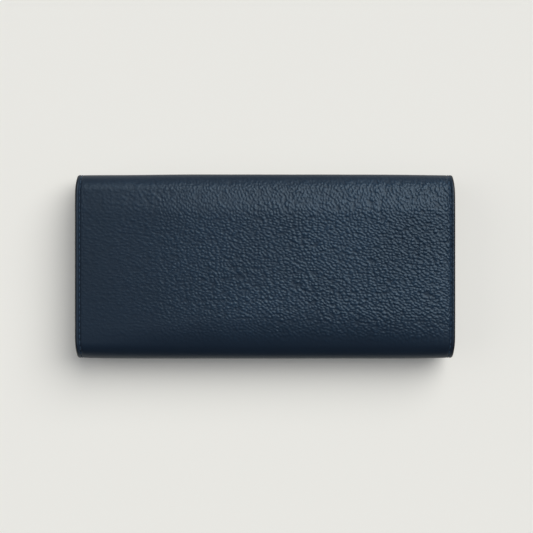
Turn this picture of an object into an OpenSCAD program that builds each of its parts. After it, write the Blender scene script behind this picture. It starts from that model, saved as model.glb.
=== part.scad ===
// Long flap wallet with a zipped coin pocket between two note compartments.
// It lies closed on its flap, with the back panel up. +X runs along the length, +Y towards the
// spine that joins the flap to the back, and +Z up. The origin is under the middle, on the surface
// that the flap rests on. One hide makes the flap, spine, back, base and front: it is cut here at
// its creases, because each crease is a hinge line.

/* [Overall] */
// Length of the wallet, end to end
wallet_l = 190; // [175:1:205]
// Depth of the closed wallet, from base to spine
wallet_d = 92; // [88:1:100]
// Outside radius of every crease in the hide
crease_r = 8; // [6.5:0.5:8.5]

/* [Leather] */
// Thickness of the outer hide
hide_t = 1.3; // [1:0.1:1.4]
// Thickness of the lining leather
lining_t = 0.7; // [0.6:0.1:0.8]
// Thickness of the stiffening boards
board_t = 0.35; // [0.2:0.05:0.4]
// Thickness of the coin pocket walls
wall_t = 0.7; // [0.5:0.1:0.8]
// Thickness of one gusset leg
gusset_t = 0.6; // [0.4:0.1:0.7]

/* [Flap] */
// Thickness of each card strip
card_strip_t = 0.5; // [0.4:0.1:0.5]
// Distance between the lips of two card strips
card_step = 11; // [9:1:12]
// Radius of the flap's free corners
flap_corner_r = 7; // [3:1:12]

/* [Compartments] */
// Clear depth of each note compartment
note_gap = 4.5; // [4.3:0.1:6]
// Clear depth of the coin pocket
coin_gap = 6.4; // [6.4:0.1:8]
// Depth of the gusset fold, measured in from the end
gusset_depth = 12; // [9:1:14]

/* [Zip] */
// Pitch of the teeth on one tape
tooth_pitch = 2; // [1.8:0.1:2.4]
// Width of the closed chain
chain_w = 4.2; // [3.8:0.1:4.3]
// Thickness of the chain
chain_t = 2; // [1.8:0.1:2.1]

/* [Snap] */
// Radius of the snap's socket
socket_r = 5; // [4.5:0.1:5.2]
// Radius of the snap's post
post_r = 1.8; // [1.5:0.1:2]

/* [Hidden] */
$fn = 64;
eps = 0.01;
play = 0.5;          // flap to front panel, closed
crease_gap = 1.1;    // half gap at a crease, in degrees of arc
edge_in = 0.4;       // lining set back from the hide's edge
board_in = 0.2;      // board set back from a crease
end_in = 1.5;        // pockets and gussets set back from the hide's ends

half_l = wallet_l / 2;
half_d = wallet_d / 2;
crease_y = half_d - crease_r;            // centre line of every crease

// Heights, from the surface up
z_flap_lining = hide_t;
z_cards = z_flap_lining + lining_t;
card_strips = 3;
z_front = z_cards + card_strips * card_strip_t + play;
z_front_lining = z_front + hide_t;
z_note_front = z_front_lining + lining_t;
z_coin_front = z_note_front + note_gap;
z_coin_in = z_coin_front + wall_t;
z_coin_mid = z_coin_in + coin_gap / 2;
z_coin_rear = z_coin_in + coin_gap;
z_note_rear = z_coin_rear + wall_t;
z_back_lining = z_note_rear + note_gap;
z_back = z_back_lining + lining_t;
wallet_h = z_back + hide_t;

z_spine_low = crease_r;                  // crease centres, in height
z_spine_high = wallet_h - crease_r;
z_base_low = z_front + crease_r;

mouth_y = 35;                            // free edges of the front panel and linings
coin_top = 34;                           // top of the coin pocket's walls
coin_low = -37.3;                        // inside of the coin pocket's foot
flap_end = -43;                          // free edge of the flap
strip_low = -28;                         // card strips, from their foot ...
strip_top = 29;                          // ... to the lip of the first one
strip_in = 1;                            // card strips set back from the flap's ends
pocket_half = half_l - end_in;           // half length of the coin pocket

seam_in = 2.2;                           // seam line, in from an edge
seam_end = 1.5;                          // groove and thread stop this far before a crease
groove_w = 0.9;
groove_t = 0.4;
thread_w = 0.6;
thread_t = 0.3;

tape_t = 0.5;
tape_reach = coin_gap / 2;               // tape legs lie against the walls
tape_low = 24;
chain_y = 37.25;                         // middle of the chain
chain_half = pocket_half - 17;
band_w = 1.5;                            // solid band that joins the teeth of one row
head_w = 0.8;                            // tooth width at its head
tooth_over = 0.6;                        // how far a tooth crosses the middle
tab_l = 10;                              // leather tab at each end of the tapes
tab_t = 0.8;
stop_l = 1.8;                            // top and bottom stops
stop_x = chain_half + 1.9;

slider_l = 9;
slider_x = chain_half - 4;               // slider at the closed end
slider_gap = 0.15;
plate_t = 0.9;
slider_w = 6.4;
lower_plate_w = 5;
flange_drop = 0.4;                       // flanges end this far above the tapes' middle
wedge_l = 1.2;
wedge_w = 1;
lug_l = 3;
lug_h = 2.2;
lug_t = 0.8;
lug_z = 1.6;                             // each lug's middle, from the slider's middle
pin_r = 0.55;
pin_l = 4.8;
pin_play = 0.05;
eye_r = 1;
shank_l = 8;                             // flat shank of the pull, from its pin
shank_w = 2;
shank_t = 0.8;
pull_l = 19;                             // pin to the tab's far end
pull_tab_l = 15;
pull_tab_w = 5;
pull_tab_t = 2;
pull_x = slider_x - 0.5;                 // the pull's pin
pull_y = chain_y + chain_t / 2 + slider_gap + plate_t + 1.2;

snap_y = -34.4;
rim_t = 0.5;                             // snap socket's rim and its raised ring
ring_t = 1.5;
ring_in = 1.6;
spring_play = 0.6;                       // post to the socket's hole
stud_base_t = 0.25;

// ---- Shared shapes ----

// A section drawn in (Y, Z), run along X
module along_x(l, x = 0) {
    translate([x, 0, 0]) rotate([90, 0, 90]) linear_extrude(height = l, center = true) children();
}

// A flat sheet between two corners in plan
module sheet(x0, x1, y0, y1, z, t) {
    translate([x0, y0, z]) cube([x1 - x0, y1 - y0, t]);
}

// A band of a circle, from one angle to the next, with its outer face at the crease radius less inset
module crease(y, z, a0, a1, inset, t) {
    far = 3 * crease_r;
    translate([y, z]) intersection() {
        difference() {
            circle(r = crease_r - inset);
            circle(r = crease_r - inset - t);
        }
        polygon([[0, 0], far * [cos(a0), sin(a0)], far * [cos(a1), sin(a1)]]);
    }
}

// A rectangle in (Y, Z)
module strip(y0, y1, z0, z1) {
    translate([y0, z0]) square([y1 - y0, z1 - z0]);
}

// A sheet with its two corners on the -Y side rounded
module round_end_sheet(half, y0, y1, z, t, r) {
    translate([0, 0, z]) linear_extrude(height = t) union() {
        translate([-half, y0 + r]) square([2 * half, y1 - y0 - r]);
        translate([-half + r, y0]) square([2 * (half - r), r + eps]);
        for (side = [-1, 1]) translate([side * (half - r), y0 + r]) circle(r = r);
    }
}

// ---- Flap ----

module flap_leather() {
    color("midnightblue") union() {
        round_end_sheet(half_l, flap_end, crease_y, 0, hide_t, flap_corner_r);
        along_x(wallet_l) crease(crease_y, z_spine_low, -90, -45 - crease_gap, 0, hide_t);
    }
}

// The board lies between hide and lining; the lining is skived down to make room for it
module flap_board() {
    color("gainsboro")
        round_end_sheet(half_l - edge_in, flap_end + edge_in, crease_y - board_in, z_flap_lining,
                        board_t, flap_corner_r - edge_in);
}

module flap_lining() {
    color("darkslateblue") union() {
        round_end_sheet(half_l - edge_in, flap_end + edge_in, crease_y, z_flap_lining + board_t,
                        lining_t - board_t, flap_corner_r - edge_in);
        along_x(wallet_l - 2 * edge_in)
            crease(crease_y, z_spine_low, -90, -45 - crease_gap, hide_t, lining_t);
    }
}

// Strip 1 has its lip nearest the spine, and each next strip lies on the one before
module card_strip(i) {
    color("midnightblue")
        sheet(-half_l + strip_in, half_l - strip_in, strip_low, strip_top - (i - 1) * card_step,
              z_cards + (i - 1) * card_strip_t, card_strip_t);
}

// Thread of the seam along the flap's free edge, lying on the lining
module flap_seam() {
    seam_y = flap_end + seam_in;
    color("navy")
        sheet(-half_l + flap_corner_r, half_l - flap_corner_r, seam_y - thread_w / 2,
              seam_y + thread_w / 2, z_cards, thread_t);
}

module snap_socket() {
    color("silver") translate([0, snap_y, z_cards]) difference() {
        union() {
            cylinder(h = rim_t, r = socket_r);
            cylinder(h = ring_t, r = socket_r - ring_in);
        }
        translate([0, 0, rim_t / 2]) cylinder(h = ring_t, r = post_r + spring_play);
    }
}

// ---- Spine ----

module spine_section(inset, t) {
    crease(crease_y, z_spine_low, -45 + crease_gap, 0, inset, t);
    strip(half_d - inset - t, half_d - inset, z_spine_low - eps, z_spine_high + eps);
    crease(crease_y, z_spine_high, 0, 45 - crease_gap, inset, t);
}

module spine_leather() {
    color("midnightblue") along_x(wallet_l) spine_section(0, hide_t);
}

module spine_lining() {
    color("darkslateblue") along_x(wallet_l - 2 * edge_in) spine_section(hide_t, lining_t);
}

// ---- Back and base ----

module seam_groove(y0, y1, z) {
    for (side = [-1, 1])
        sheet(side * (half_l - seam_in) - groove_w / 2, side * (half_l - seam_in) + groove_w / 2,
              y0, y1, z, groove_t + eps);
}

module back_leather() {
    color("midnightblue") difference() {
        along_x(wallet_l) union() {
            strip(-crease_y, crease_y, z_back, wallet_h);
            crease(crease_y, z_spine_high, 45 + crease_gap, 90, 0, hide_t);
        }
        seam_groove(-crease_y + seam_end, crease_y - seam_end, wallet_h - groove_t);
    }
}

module base_section(inset, t) {
    crease(-crease_y, z_spine_high, 90, 180, inset, t);
    strip(-half_d + inset, -half_d + inset + t, z_base_low - eps, z_spine_high + eps);
    crease(-crease_y, z_base_low, 180, 225 - crease_gap, inset, t);
}

module base_leather() {
    color("midnightblue") along_x(wallet_l) base_section(0, hide_t);
}

module base_lining() {
    color("darkslateblue") along_x(wallet_l - 2 * edge_in) base_section(hide_t, lining_t);
}

module back_board() {
    color("gainsboro") along_x(wallet_l - 2 * edge_in)
        strip(-crease_y + board_in, crease_y - board_in, z_back - board_t, z_back);
}

module back_lining() {
    color("darkslateblue") along_x(wallet_l - 2 * edge_in) union() {
        strip(-crease_y, crease_y, z_back_lining, z_back - board_t);
        crease(crease_y, z_spine_high, 45 + crease_gap, 90, hide_t, lining_t);
    }
}

module back_seam(side) {
    color("navy")
        sheet(side * (half_l - seam_in) - thread_w / 2, side * (half_l - seam_in) + thread_w / 2,
              -crease_y + seam_end, crease_y - seam_end, wallet_h - groove_t, thread_t);
}

// ---- Gussets: one folded leaf of leather closes each end of each compartment ----

module gusset(side, z) {
    outer = note_gap / 2;
    leg = gusset_depth - outer;
    top = mouth_y - 1;
    color("darkslateblue") translate([0, top, z + outer])
        rotate([90, 0, 0]) linear_extrude(height = top + crease_y)
            mirror([side > 0 ? 0 : 1, 0]) translate([half_l - end_in - leg, 0]) union() {
                for (edge = [-1, 1])
                    translate([0, edge > 0 ? outer - gusset_t : -outer]) square([leg, gusset_t]);
                difference() {
                    circle(r = outer);
                    circle(r = outer - gusset_t);
                    translate([0, -outer]) square(2 * outer);
                }
            }
}

// Foot of the gussets: it closes the end of the base, inside the lining
module gusset_foot(side) {
    inner_r = crease_r - hide_t - lining_t;
    clear = 0.2;
    color("darkslateblue") along_x(gusset_t, side * (half_l - end_in - gusset_t / 2)) intersection() {
        union() {
            translate([-crease_y, z_spine_high]) circle(r = inner_r);
            translate([-crease_y, z_base_low]) circle(r = inner_r - clear);
            strip(-crease_y - inner_r, -crease_y, z_base_low, z_spine_high);
        }
        strip(-half_d, -crease_y - clear, 0, wallet_h);
    }
}

// ---- Coin pocket ----

module coin_wall(z) {
    color("midnightblue")
        sheet(-pocket_half, pocket_half, coin_low, coin_top, z, wall_t);
}

module coin_foot() {
    color("midnightblue")
        sheet(-pocket_half, pocket_half, coin_low - wall_t, coin_low, z_coin_front,
              z_note_rear - z_coin_front);
}

module coin_end(side) {
    x0 = side > 0 ? pocket_half - wall_t : -pocket_half;
    color("midnightblue")
        sheet(x0, x0 + wall_t, coin_low, tape_low - tape_t, z_coin_in, coin_gap);
}

// ---- Zip ----

// A tape runs in from the chain, then turns down against its wall
module zip_tape(side) {
    color("darkslategray") along_x(2 * pocket_half) translate([0, z_coin_mid]) union() {
        translate([chain_y - tape_t / 2, side > 0 ? chain_w / 2 : -tape_reach])
            square([tape_t, tape_reach - chain_w / 2]);
        translate([tape_low, side > 0 ? tape_reach - tape_t : -tape_reach])
            square([chain_y - tape_low, tape_t]);
    }
}

// Outline of one row of teeth, drawn in (X, distance from the tape edge)
function tooth(x) = [[x - head_w / 2, band_w], [x - head_w / 2, chain_w / 2 + tooth_over],
                     [x + head_w / 2, chain_w / 2 + tooth_over], [x + head_w / 2, band_w]];

module zip_teeth(side) {
    shift = side > 0 ? 0 : tooth_pitch / 2;
    last = floor((chain_half - 1) / tooth_pitch);
    outline = [
        [-chain_half, 0], [-chain_half, band_w],
        for (i = [-last : last]) each tooth(i * tooth_pitch + shift - tooth_pitch / 4),
        [chain_half, band_w], [chain_half, 0]
    ];
    color("silver") translate([0, chain_y + chain_t / 2, z_coin_mid + side * chain_w / 2])
        rotate([90, 0, 0]) linear_extrude(height = chain_t)
            mirror([0, side > 0 ? 1 : 0]) polygon(outline);
}

// Leather tab that closes off the tapes at each end of the chain
module zip_tab(side) {
    x0 = side > 0 ? pocket_half - tab_l : -pocket_half;
    color("midnightblue")
        sheet(x0, x0 + tab_l, chain_y + tape_t / 2, chain_y + tape_t / 2 + tab_t,
              z_coin_mid - tape_reach, 2 * tape_reach);
}

module zip_stops() {
    color("silver") for (side = [-1, 1])
        sheet(side * stop_x - stop_l / 2, side * stop_x + stop_l / 2,
              chain_y - chain_t / 2, chain_y + chain_t / 2, z_coin_mid - chain_w / 2, chain_w);
}

// Two plates with turned-in flanges, joined by a bridge round the outside of the chain
module zip_slider() {
    top_y = chain_y + chain_t / 2 + slider_gap;
    low_y = chain_y - chain_t / 2 - slider_gap - plate_t;
    inner = chain_w / 2 + slider_gap;
    pin_x = pull_x - slider_x + slider_l / 2;
    color("gold") translate([slider_x - slider_l / 2, 0, z_coin_mid]) union() {
        translate([0, top_y, -slider_w / 2]) cube([slider_l, plate_t, slider_w]);
        translate([0, low_y, -lower_plate_w / 2]) cube([slider_l, plate_t, lower_plate_w]);
        for (side = [-1, 1]) {
            translate([0, chain_y + flange_drop, side > 0 ? inner : -slider_w / 2])
                cube([slider_l, top_y - chain_y - flange_drop + eps, slider_w / 2 - inner]);
            // pull lugs on the top plate, one each side of the pull's eye
            translate([pin_x, 0, side * lug_z]) difference() {
                translate([-lug_l / 2, top_y + plate_t - eps, -lug_t / 2])
                    cube([lug_l, lug_h, lug_t]);
                translate([0, pull_y, -lug_t]) cylinder(h = 2 * lug_t, r = pin_r + pin_play);
            }
        }
        // wedge that parts the teeth, at the leading end
        translate([slider_l - wedge_l, low_y + eps, -wedge_w / 2])
            cube([wedge_l, top_y - low_y, wedge_w]);
    }
}

// Metal pull: a pin through the slider's lugs, an eye round it and a flat shank
module zip_pull() {
    color("gold") union() {
        translate([pull_x, pull_y, z_coin_mid]) cylinder(h = pin_l, r = pin_r, center = true);
        translate([pull_x, pull_y, z_coin_mid]) cylinder(h = shank_w, r = eye_r, center = true);
        shank();
    }
}

module shank(grow = 0) {
    translate([pull_x - shank_l - grow, pull_y - shank_t / 2, z_coin_mid - shank_w / 2])
        cube([shank_l + grow, shank_t, shank_w]);
}

// Leather tab folded over the end of the shank
module pull_tab() {
    color("midnightblue") difference() {
        translate([pull_x - pull_l, pull_y - pull_tab_t / 2, z_coin_mid - pull_tab_w / 2])
            cube([pull_tab_l, pull_tab_t, pull_tab_w]);
        shank(eps);
    }
}

// ---- Front ----

module front_leather() {
    color("midnightblue") along_x(wallet_l) union() {
        strip(-crease_y, mouth_y, z_front, z_front_lining);
        crease(-crease_y, z_base_low, 225 + crease_gap, 270, 0, hide_t);
    }
}

module front_board() {
    color("gainsboro") along_x(wallet_l - 2 * edge_in)
        strip(-crease_y + board_in, mouth_y - edge_in, z_front_lining, z_front_lining + board_t);
}

module front_lining() {
    color("darkslateblue") along_x(wallet_l - 2 * edge_in) union() {
        strip(-crease_y, mouth_y - edge_in, z_front_lining + board_t, z_note_front);
        crease(-crease_y, z_base_low, 225 + crease_gap, 270, hide_t, lining_t);
    }
}

module snap_stud() {
    tip = z_cards + rim_t;
    color("silver") translate([0, snap_y, 0]) union() {
        translate([0, 0, z_front - stud_base_t]) cylinder(h = stud_base_t, r = socket_r - 1);
        translate([0, 0, tip]) cylinder(h = z_front - tip - eps, r = post_r);
    }
}

module front_seam() {
    seam_half = half_l - end_in - gusset_depth - 1;
    color("navy")
        sheet(-seam_half, seam_half, mouth_y - seam_in - thread_w / 2,
              mouth_y - seam_in + thread_w / 2, z_note_front, thread_t);
}

flap_leather();
flap_board();
flap_lining();
card_strip(1);  // card_strip_1
card_strip(2);  // card_strip_2
card_strip(3);  // card_strip_3
flap_seam();
snap_socket();
spine_leather();
spine_lining();
back_leather();
base_leather();
back_board();
back_lining();
base_lining();
back_seam(-1);  // back_seam_left
back_seam(1);  // back_seam_right
gusset(-1, z_note_rear);  // gusset_rear_left
gusset(1, z_note_rear);  // gusset_rear_right
gusset(-1, z_note_front);  // gusset_front_left
gusset(1, z_note_front);  // gusset_front_right
gusset_foot(-1);  // gusset_foot_left
gusset_foot(1);  // gusset_foot_right
coin_wall(z_coin_rear);  // coin_wall_rear
coin_wall(z_coin_front);  // coin_wall_front
coin_foot();
coin_end(-1);  // coin_end_left
coin_end(1);  // coin_end_right
zip_tape(1);  // zip_tape_rear
zip_tape(-1);  // zip_tape_front
zip_teeth(1);  // zip_teeth_rear
zip_teeth(-1);  // zip_teeth_front
zip_tab(-1);  // zip_tab_left
zip_tab(1);  // zip_tab_right
zip_stops();
zip_slider();
zip_pull();
pull_tab();
front_leather();
front_board();
front_lining();
snap_stud();
front_seam();
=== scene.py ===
"""Long flap wallet in navy pebble-grained cowhide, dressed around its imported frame.

A sheet of leather is laid along a section: an outline that is walked by arc length and drawn out
sideways.
"""

import logging
import math
from collections.abc import Callable, Sequence
from dataclasses import dataclass, field
from enum import Enum
from typing import Any

import bmesh
import bpy
import numpy as np
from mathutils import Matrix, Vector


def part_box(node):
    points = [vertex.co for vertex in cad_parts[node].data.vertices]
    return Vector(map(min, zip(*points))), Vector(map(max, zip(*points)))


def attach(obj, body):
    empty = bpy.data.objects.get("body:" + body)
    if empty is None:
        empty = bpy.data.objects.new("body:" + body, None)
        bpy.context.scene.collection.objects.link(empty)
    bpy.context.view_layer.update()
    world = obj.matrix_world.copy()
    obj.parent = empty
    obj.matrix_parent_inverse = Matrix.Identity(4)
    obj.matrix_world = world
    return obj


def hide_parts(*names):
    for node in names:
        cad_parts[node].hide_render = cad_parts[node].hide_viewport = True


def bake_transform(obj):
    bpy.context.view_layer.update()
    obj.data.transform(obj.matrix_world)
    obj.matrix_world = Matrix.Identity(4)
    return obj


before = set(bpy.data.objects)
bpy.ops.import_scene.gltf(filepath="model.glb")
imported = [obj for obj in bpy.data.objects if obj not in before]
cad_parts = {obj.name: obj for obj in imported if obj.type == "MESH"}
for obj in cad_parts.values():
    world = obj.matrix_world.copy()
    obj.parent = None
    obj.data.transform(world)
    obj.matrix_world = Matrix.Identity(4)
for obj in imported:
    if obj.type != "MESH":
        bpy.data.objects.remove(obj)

MM = 0.001
LOG = logging.getLogger("wallet")

Array = np.ndarray
Point = tuple[float, float, float]
Outline = list[tuple[float, float]]
Line = tuple[Array, Array]  # a seam's points, and the surface's normals there
Piece = bpy.types.Object
Material = bpy.types.Material
Tree = bpy.types.NodeTree
Socket = bpy.types.NodeSocket


class Body(str, Enum):
    """The frame's bodies that a piece can ride on."""

    FLAP = "flap"
    SPINE = "spine"
    BACK = "back"
    COIN_POCKET = "coin_pocket"
    FRONT = "front"
    SLIDER = "slider"
    PULL = "pull"


class Slot(str, Enum):
    """The record's material slots."""

    HIDE = "hide"
    CARD = "card_leather"
    LINING = "lining_leather"
    POCKET = "pocket_leather"
    THREAD = "thread"
    TAPE = "zip_tape"
    TEETH = "zip_teeth"
    ZIP_METAL = "zip_metal"
    SNAP_METAL = "snap_metal"


class Signed(Enum):
    """One of two opposite places, with the sign of its direction."""

    @property
    def word(self) -> str:
        """The place's name as the frame's nodes spell it."""
        return self.name.lower()


class Side(Signed):
    """An end of the wallet along X."""

    LEFT = -1
    RIGHT = 1


class Bank(Signed):
    """A side of the coin pocket along Z: towards the wallet's back or towards its front."""

    REAR = 1
    FRONT = -1


class Lay(Enum):
    """How a sheet's section is laid in the frame."""

    ALONG_X = "section in (Y, Z), drawn out along X"
    ALONG_Y = "section in (X, Z), drawn out along Y"


# ---- Patterns ----


def smooth(value: Array | float, low: float = 0.0, high: float = 1.0) -> Array:
    """Eases from 0 at low to 1 at high."""
    share = np.clip((np.asarray(value, float) - low) / (high - low), 0, 1)
    return share * share * (3 - 2 * share)


def within(value: Array, rise: tuple[float, float], fall: tuple[float, float]) -> Array:
    """Eases from 0 to 1 over one range, and back to 0 over another."""
    return smooth(value, *rise) * (1 - smooth(value, *fall))


def dip(distance: Array, width: float) -> Array:
    """A rounded groove's share of its full depth at a distance from its middle line."""
    return np.exp(-((distance / (0.5 * width)) ** 2))


def cloud(u: Array, v: Array, cell: float, seed: int) -> Array:
    """Soft random cover, as of an uneven dye or a hide's slack.

    Args:
        u: first coordinate of each point.
        v: second coordinate of each point.
        cell: size of one patch, in the coordinates' unit.
        seed: picks the cover.

    Returns:
        A value from 0 to 1 at each point.
    """
    size = 128
    lattice = np.random.default_rng(seed).random((size, size))
    iu, iv = np.floor(u / cell), np.floor(v / cell)
    fu, fv = smooth(u / cell - iu), smooth(v / cell - iv)
    i, j = iu.astype(int) % size, iv.astype(int) % size
    low = lattice[i, j] * (1 - fu) + lattice[(i + 1) % size, j] * fu
    high = lattice[i, (j + 1) % size] * (1 - fu) + lattice[(i + 1) % size, (j + 1) % size] * fu
    return low * (1 - fv) + high * fv


def pebbles(u: Array, v: Array, cell: float, stretch: Array, seed: int) -> Array:
    """Domed cells with narrow valleys between them, as shrunken grain has.

    Args:
        u: first coordinate of each point.
        v: second coordinate of each point, along which cells may be drawn out.
        cell: mean size of one cell.
        stretch: how much longer than wide the cells are at each point, as a square root.
        seed: picks the pattern.

    Returns:
        A height from 0, in a valley, to 1, on top of a full cell.
    """
    size = 256
    rng = np.random.default_rng(seed)
    places, fullness = rng.random((size, size, 2)), rng.uniform(0.62, 1.0, (size, size))
    u, v = u / cell, v / cell
    iu, iv = np.floor(u).astype(int), np.floor(v).astype(int)
    first, second = np.full(u.shape, 9.0), np.full(u.shape, 9.0)
    full = np.zeros(u.shape)
    for du in range(-2, 3):
        for dv in range(-3, 4):
            i, j = (iu + du) % size, (iv + dv) % size
            across = (iu + du + places[i, j, 0] - u) * stretch
            along = (iv + dv + places[i, j, 1] - v) / stretch
            away = np.hypot(across, along)
            nearer = away < first
            second = np.where(nearer, first, np.minimum(second, away))
            full = np.where(nearer, fullness[i, j], full)
            first = np.where(nearer, away, first)
    valley = smooth(second - first, 0.0, 0.42)
    dome = 1 - np.clip(first / 0.85, 0, 1) ** 2
    return full * valley * (0.45 + 0.55 * dome)


# ---- Sections and sheets ----


def run(start: tuple[float, float], end: tuple[float, float]) -> Array:
    """Points of a straight run of a section, both ends included."""
    count = max(2, int(math.dist(start, end) / 0.1) + 1)
    return np.linspace(start, end, count)


def bend(centre: tuple[float, float], radius: float, first: float, last: float) -> Array:
    """Points of an arc of a section from one angle to another in degrees, both ends included."""
    angles = np.radians(np.linspace(first, last, 48))
    return np.stack([centre[0] + radius * np.cos(angles), centre[1] + radius * np.sin(angles)], 1)


def soften(knots: Array, rounds: int = 4) -> Array:
    """A smooth line through the neighbourhood of some knots, with the ends kept.

    Args:
        knots: one row for each knot.
        rounds: how many times the corners are cut off.

    Returns:
        One row for each point of the line.
    """
    line = knots
    for _ in range(rounds):
        before, after = line[:-1], line[1:]
        cut = np.stack([0.75 * before + 0.25 * after, 0.25 * before + 0.75 * after], 1)
        line = np.concatenate([line[:1], cut.reshape(-1, line.shape[1]), line[-1:]])
    return line


class Section:
    """An outline that is walked by arc length, with a normal on one side of it."""

    def __init__(self, points: Array, outward: int) -> None:
        """Takes the outline's points.

        Args:
            points: one row for each point, in order.
            outward: 1 if the face is to the left of the walk, -1 if it is to the right.
        """
        steps = np.linalg.norm(np.diff(points, axis=0), axis=1)
        keep = np.concatenate([[True], steps > 1e-6])
        self.points = points[keep]
        steps = np.linalg.norm(np.diff(self.points, axis=0), axis=1)
        self.reach = np.concatenate([[0], np.cumsum(steps)])
        tangent = np.gradient(self.points, self.reach, axis=0)
        tangent /= np.linalg.norm(tangent, axis=1, keepdims=True)
        self.normals = outward * np.stack([-tangent[:, 1], tangent[:, 0]], 1)
        self.length = float(self.reach[-1])

    def walk(self, along: Array) -> tuple[Array, Array]:
        """Points and unit normals at the given arc lengths."""
        place = [np.interp(along, self.reach, self.points[:, k]) for k in (0, 1)]
        normal = np.stack([np.interp(along, self.reach, self.normals[:, k]) for k in (0, 1)], -1)
        normal /= np.linalg.norm(normal, axis=-1, keepdims=True)
        return np.stack(place, -1), normal

    def length_at(self, axis: int, value: float) -> float:
        """Arc length of the outline's point that is nearest to a value along one axis."""
        return float(self.reach[np.argmin(np.abs(self.points[:, axis] - value))])


def stations(length: float, step: float, fine: float, width: float,
             ends: tuple[bool, bool], multiple: int) -> Array:
    """Distances from 0 to length, closer together near the ends that need it.

    Args:
        length: distance to cover.
        step: spacing in the middle.
        fine: spacing near an end.
        width: how far from an end the fine spacing reaches.
        ends: whether the start and the end are fine.
        multiple: the number of steps in each stretch is a multiple of this.

    Returns:
        The distances, in order.
    """
    low, high = (width if ends[0] else 0.0), length - (width if ends[1] else 0.0)
    stretches = [(0.0, low, fine), (low, high, step), (high, length, fine)]
    parts = []
    for start, stop, spacing in stretches:
        if stop - start > 1e-9:
            count = multiple * max(1, math.ceil((stop - start) / spacing / multiple))
            parts.append(np.linspace(start, stop, count + 1)[:-1])
    return np.concatenate(parts + [[length]])


def between(low: float, high: float) -> Callable[[Array], tuple[Array, Array]]:
    """Straight ends of a sheet, the same all along it."""
    return lambda along: (np.full(np.shape(along), low), np.full(np.shape(along), high))


def plain(across: Array, along: Array, edge: Array) -> Array:
    """The relief of a sheet that has none."""
    return np.zeros(np.broadcast(across, along, edge).shape)


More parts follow.
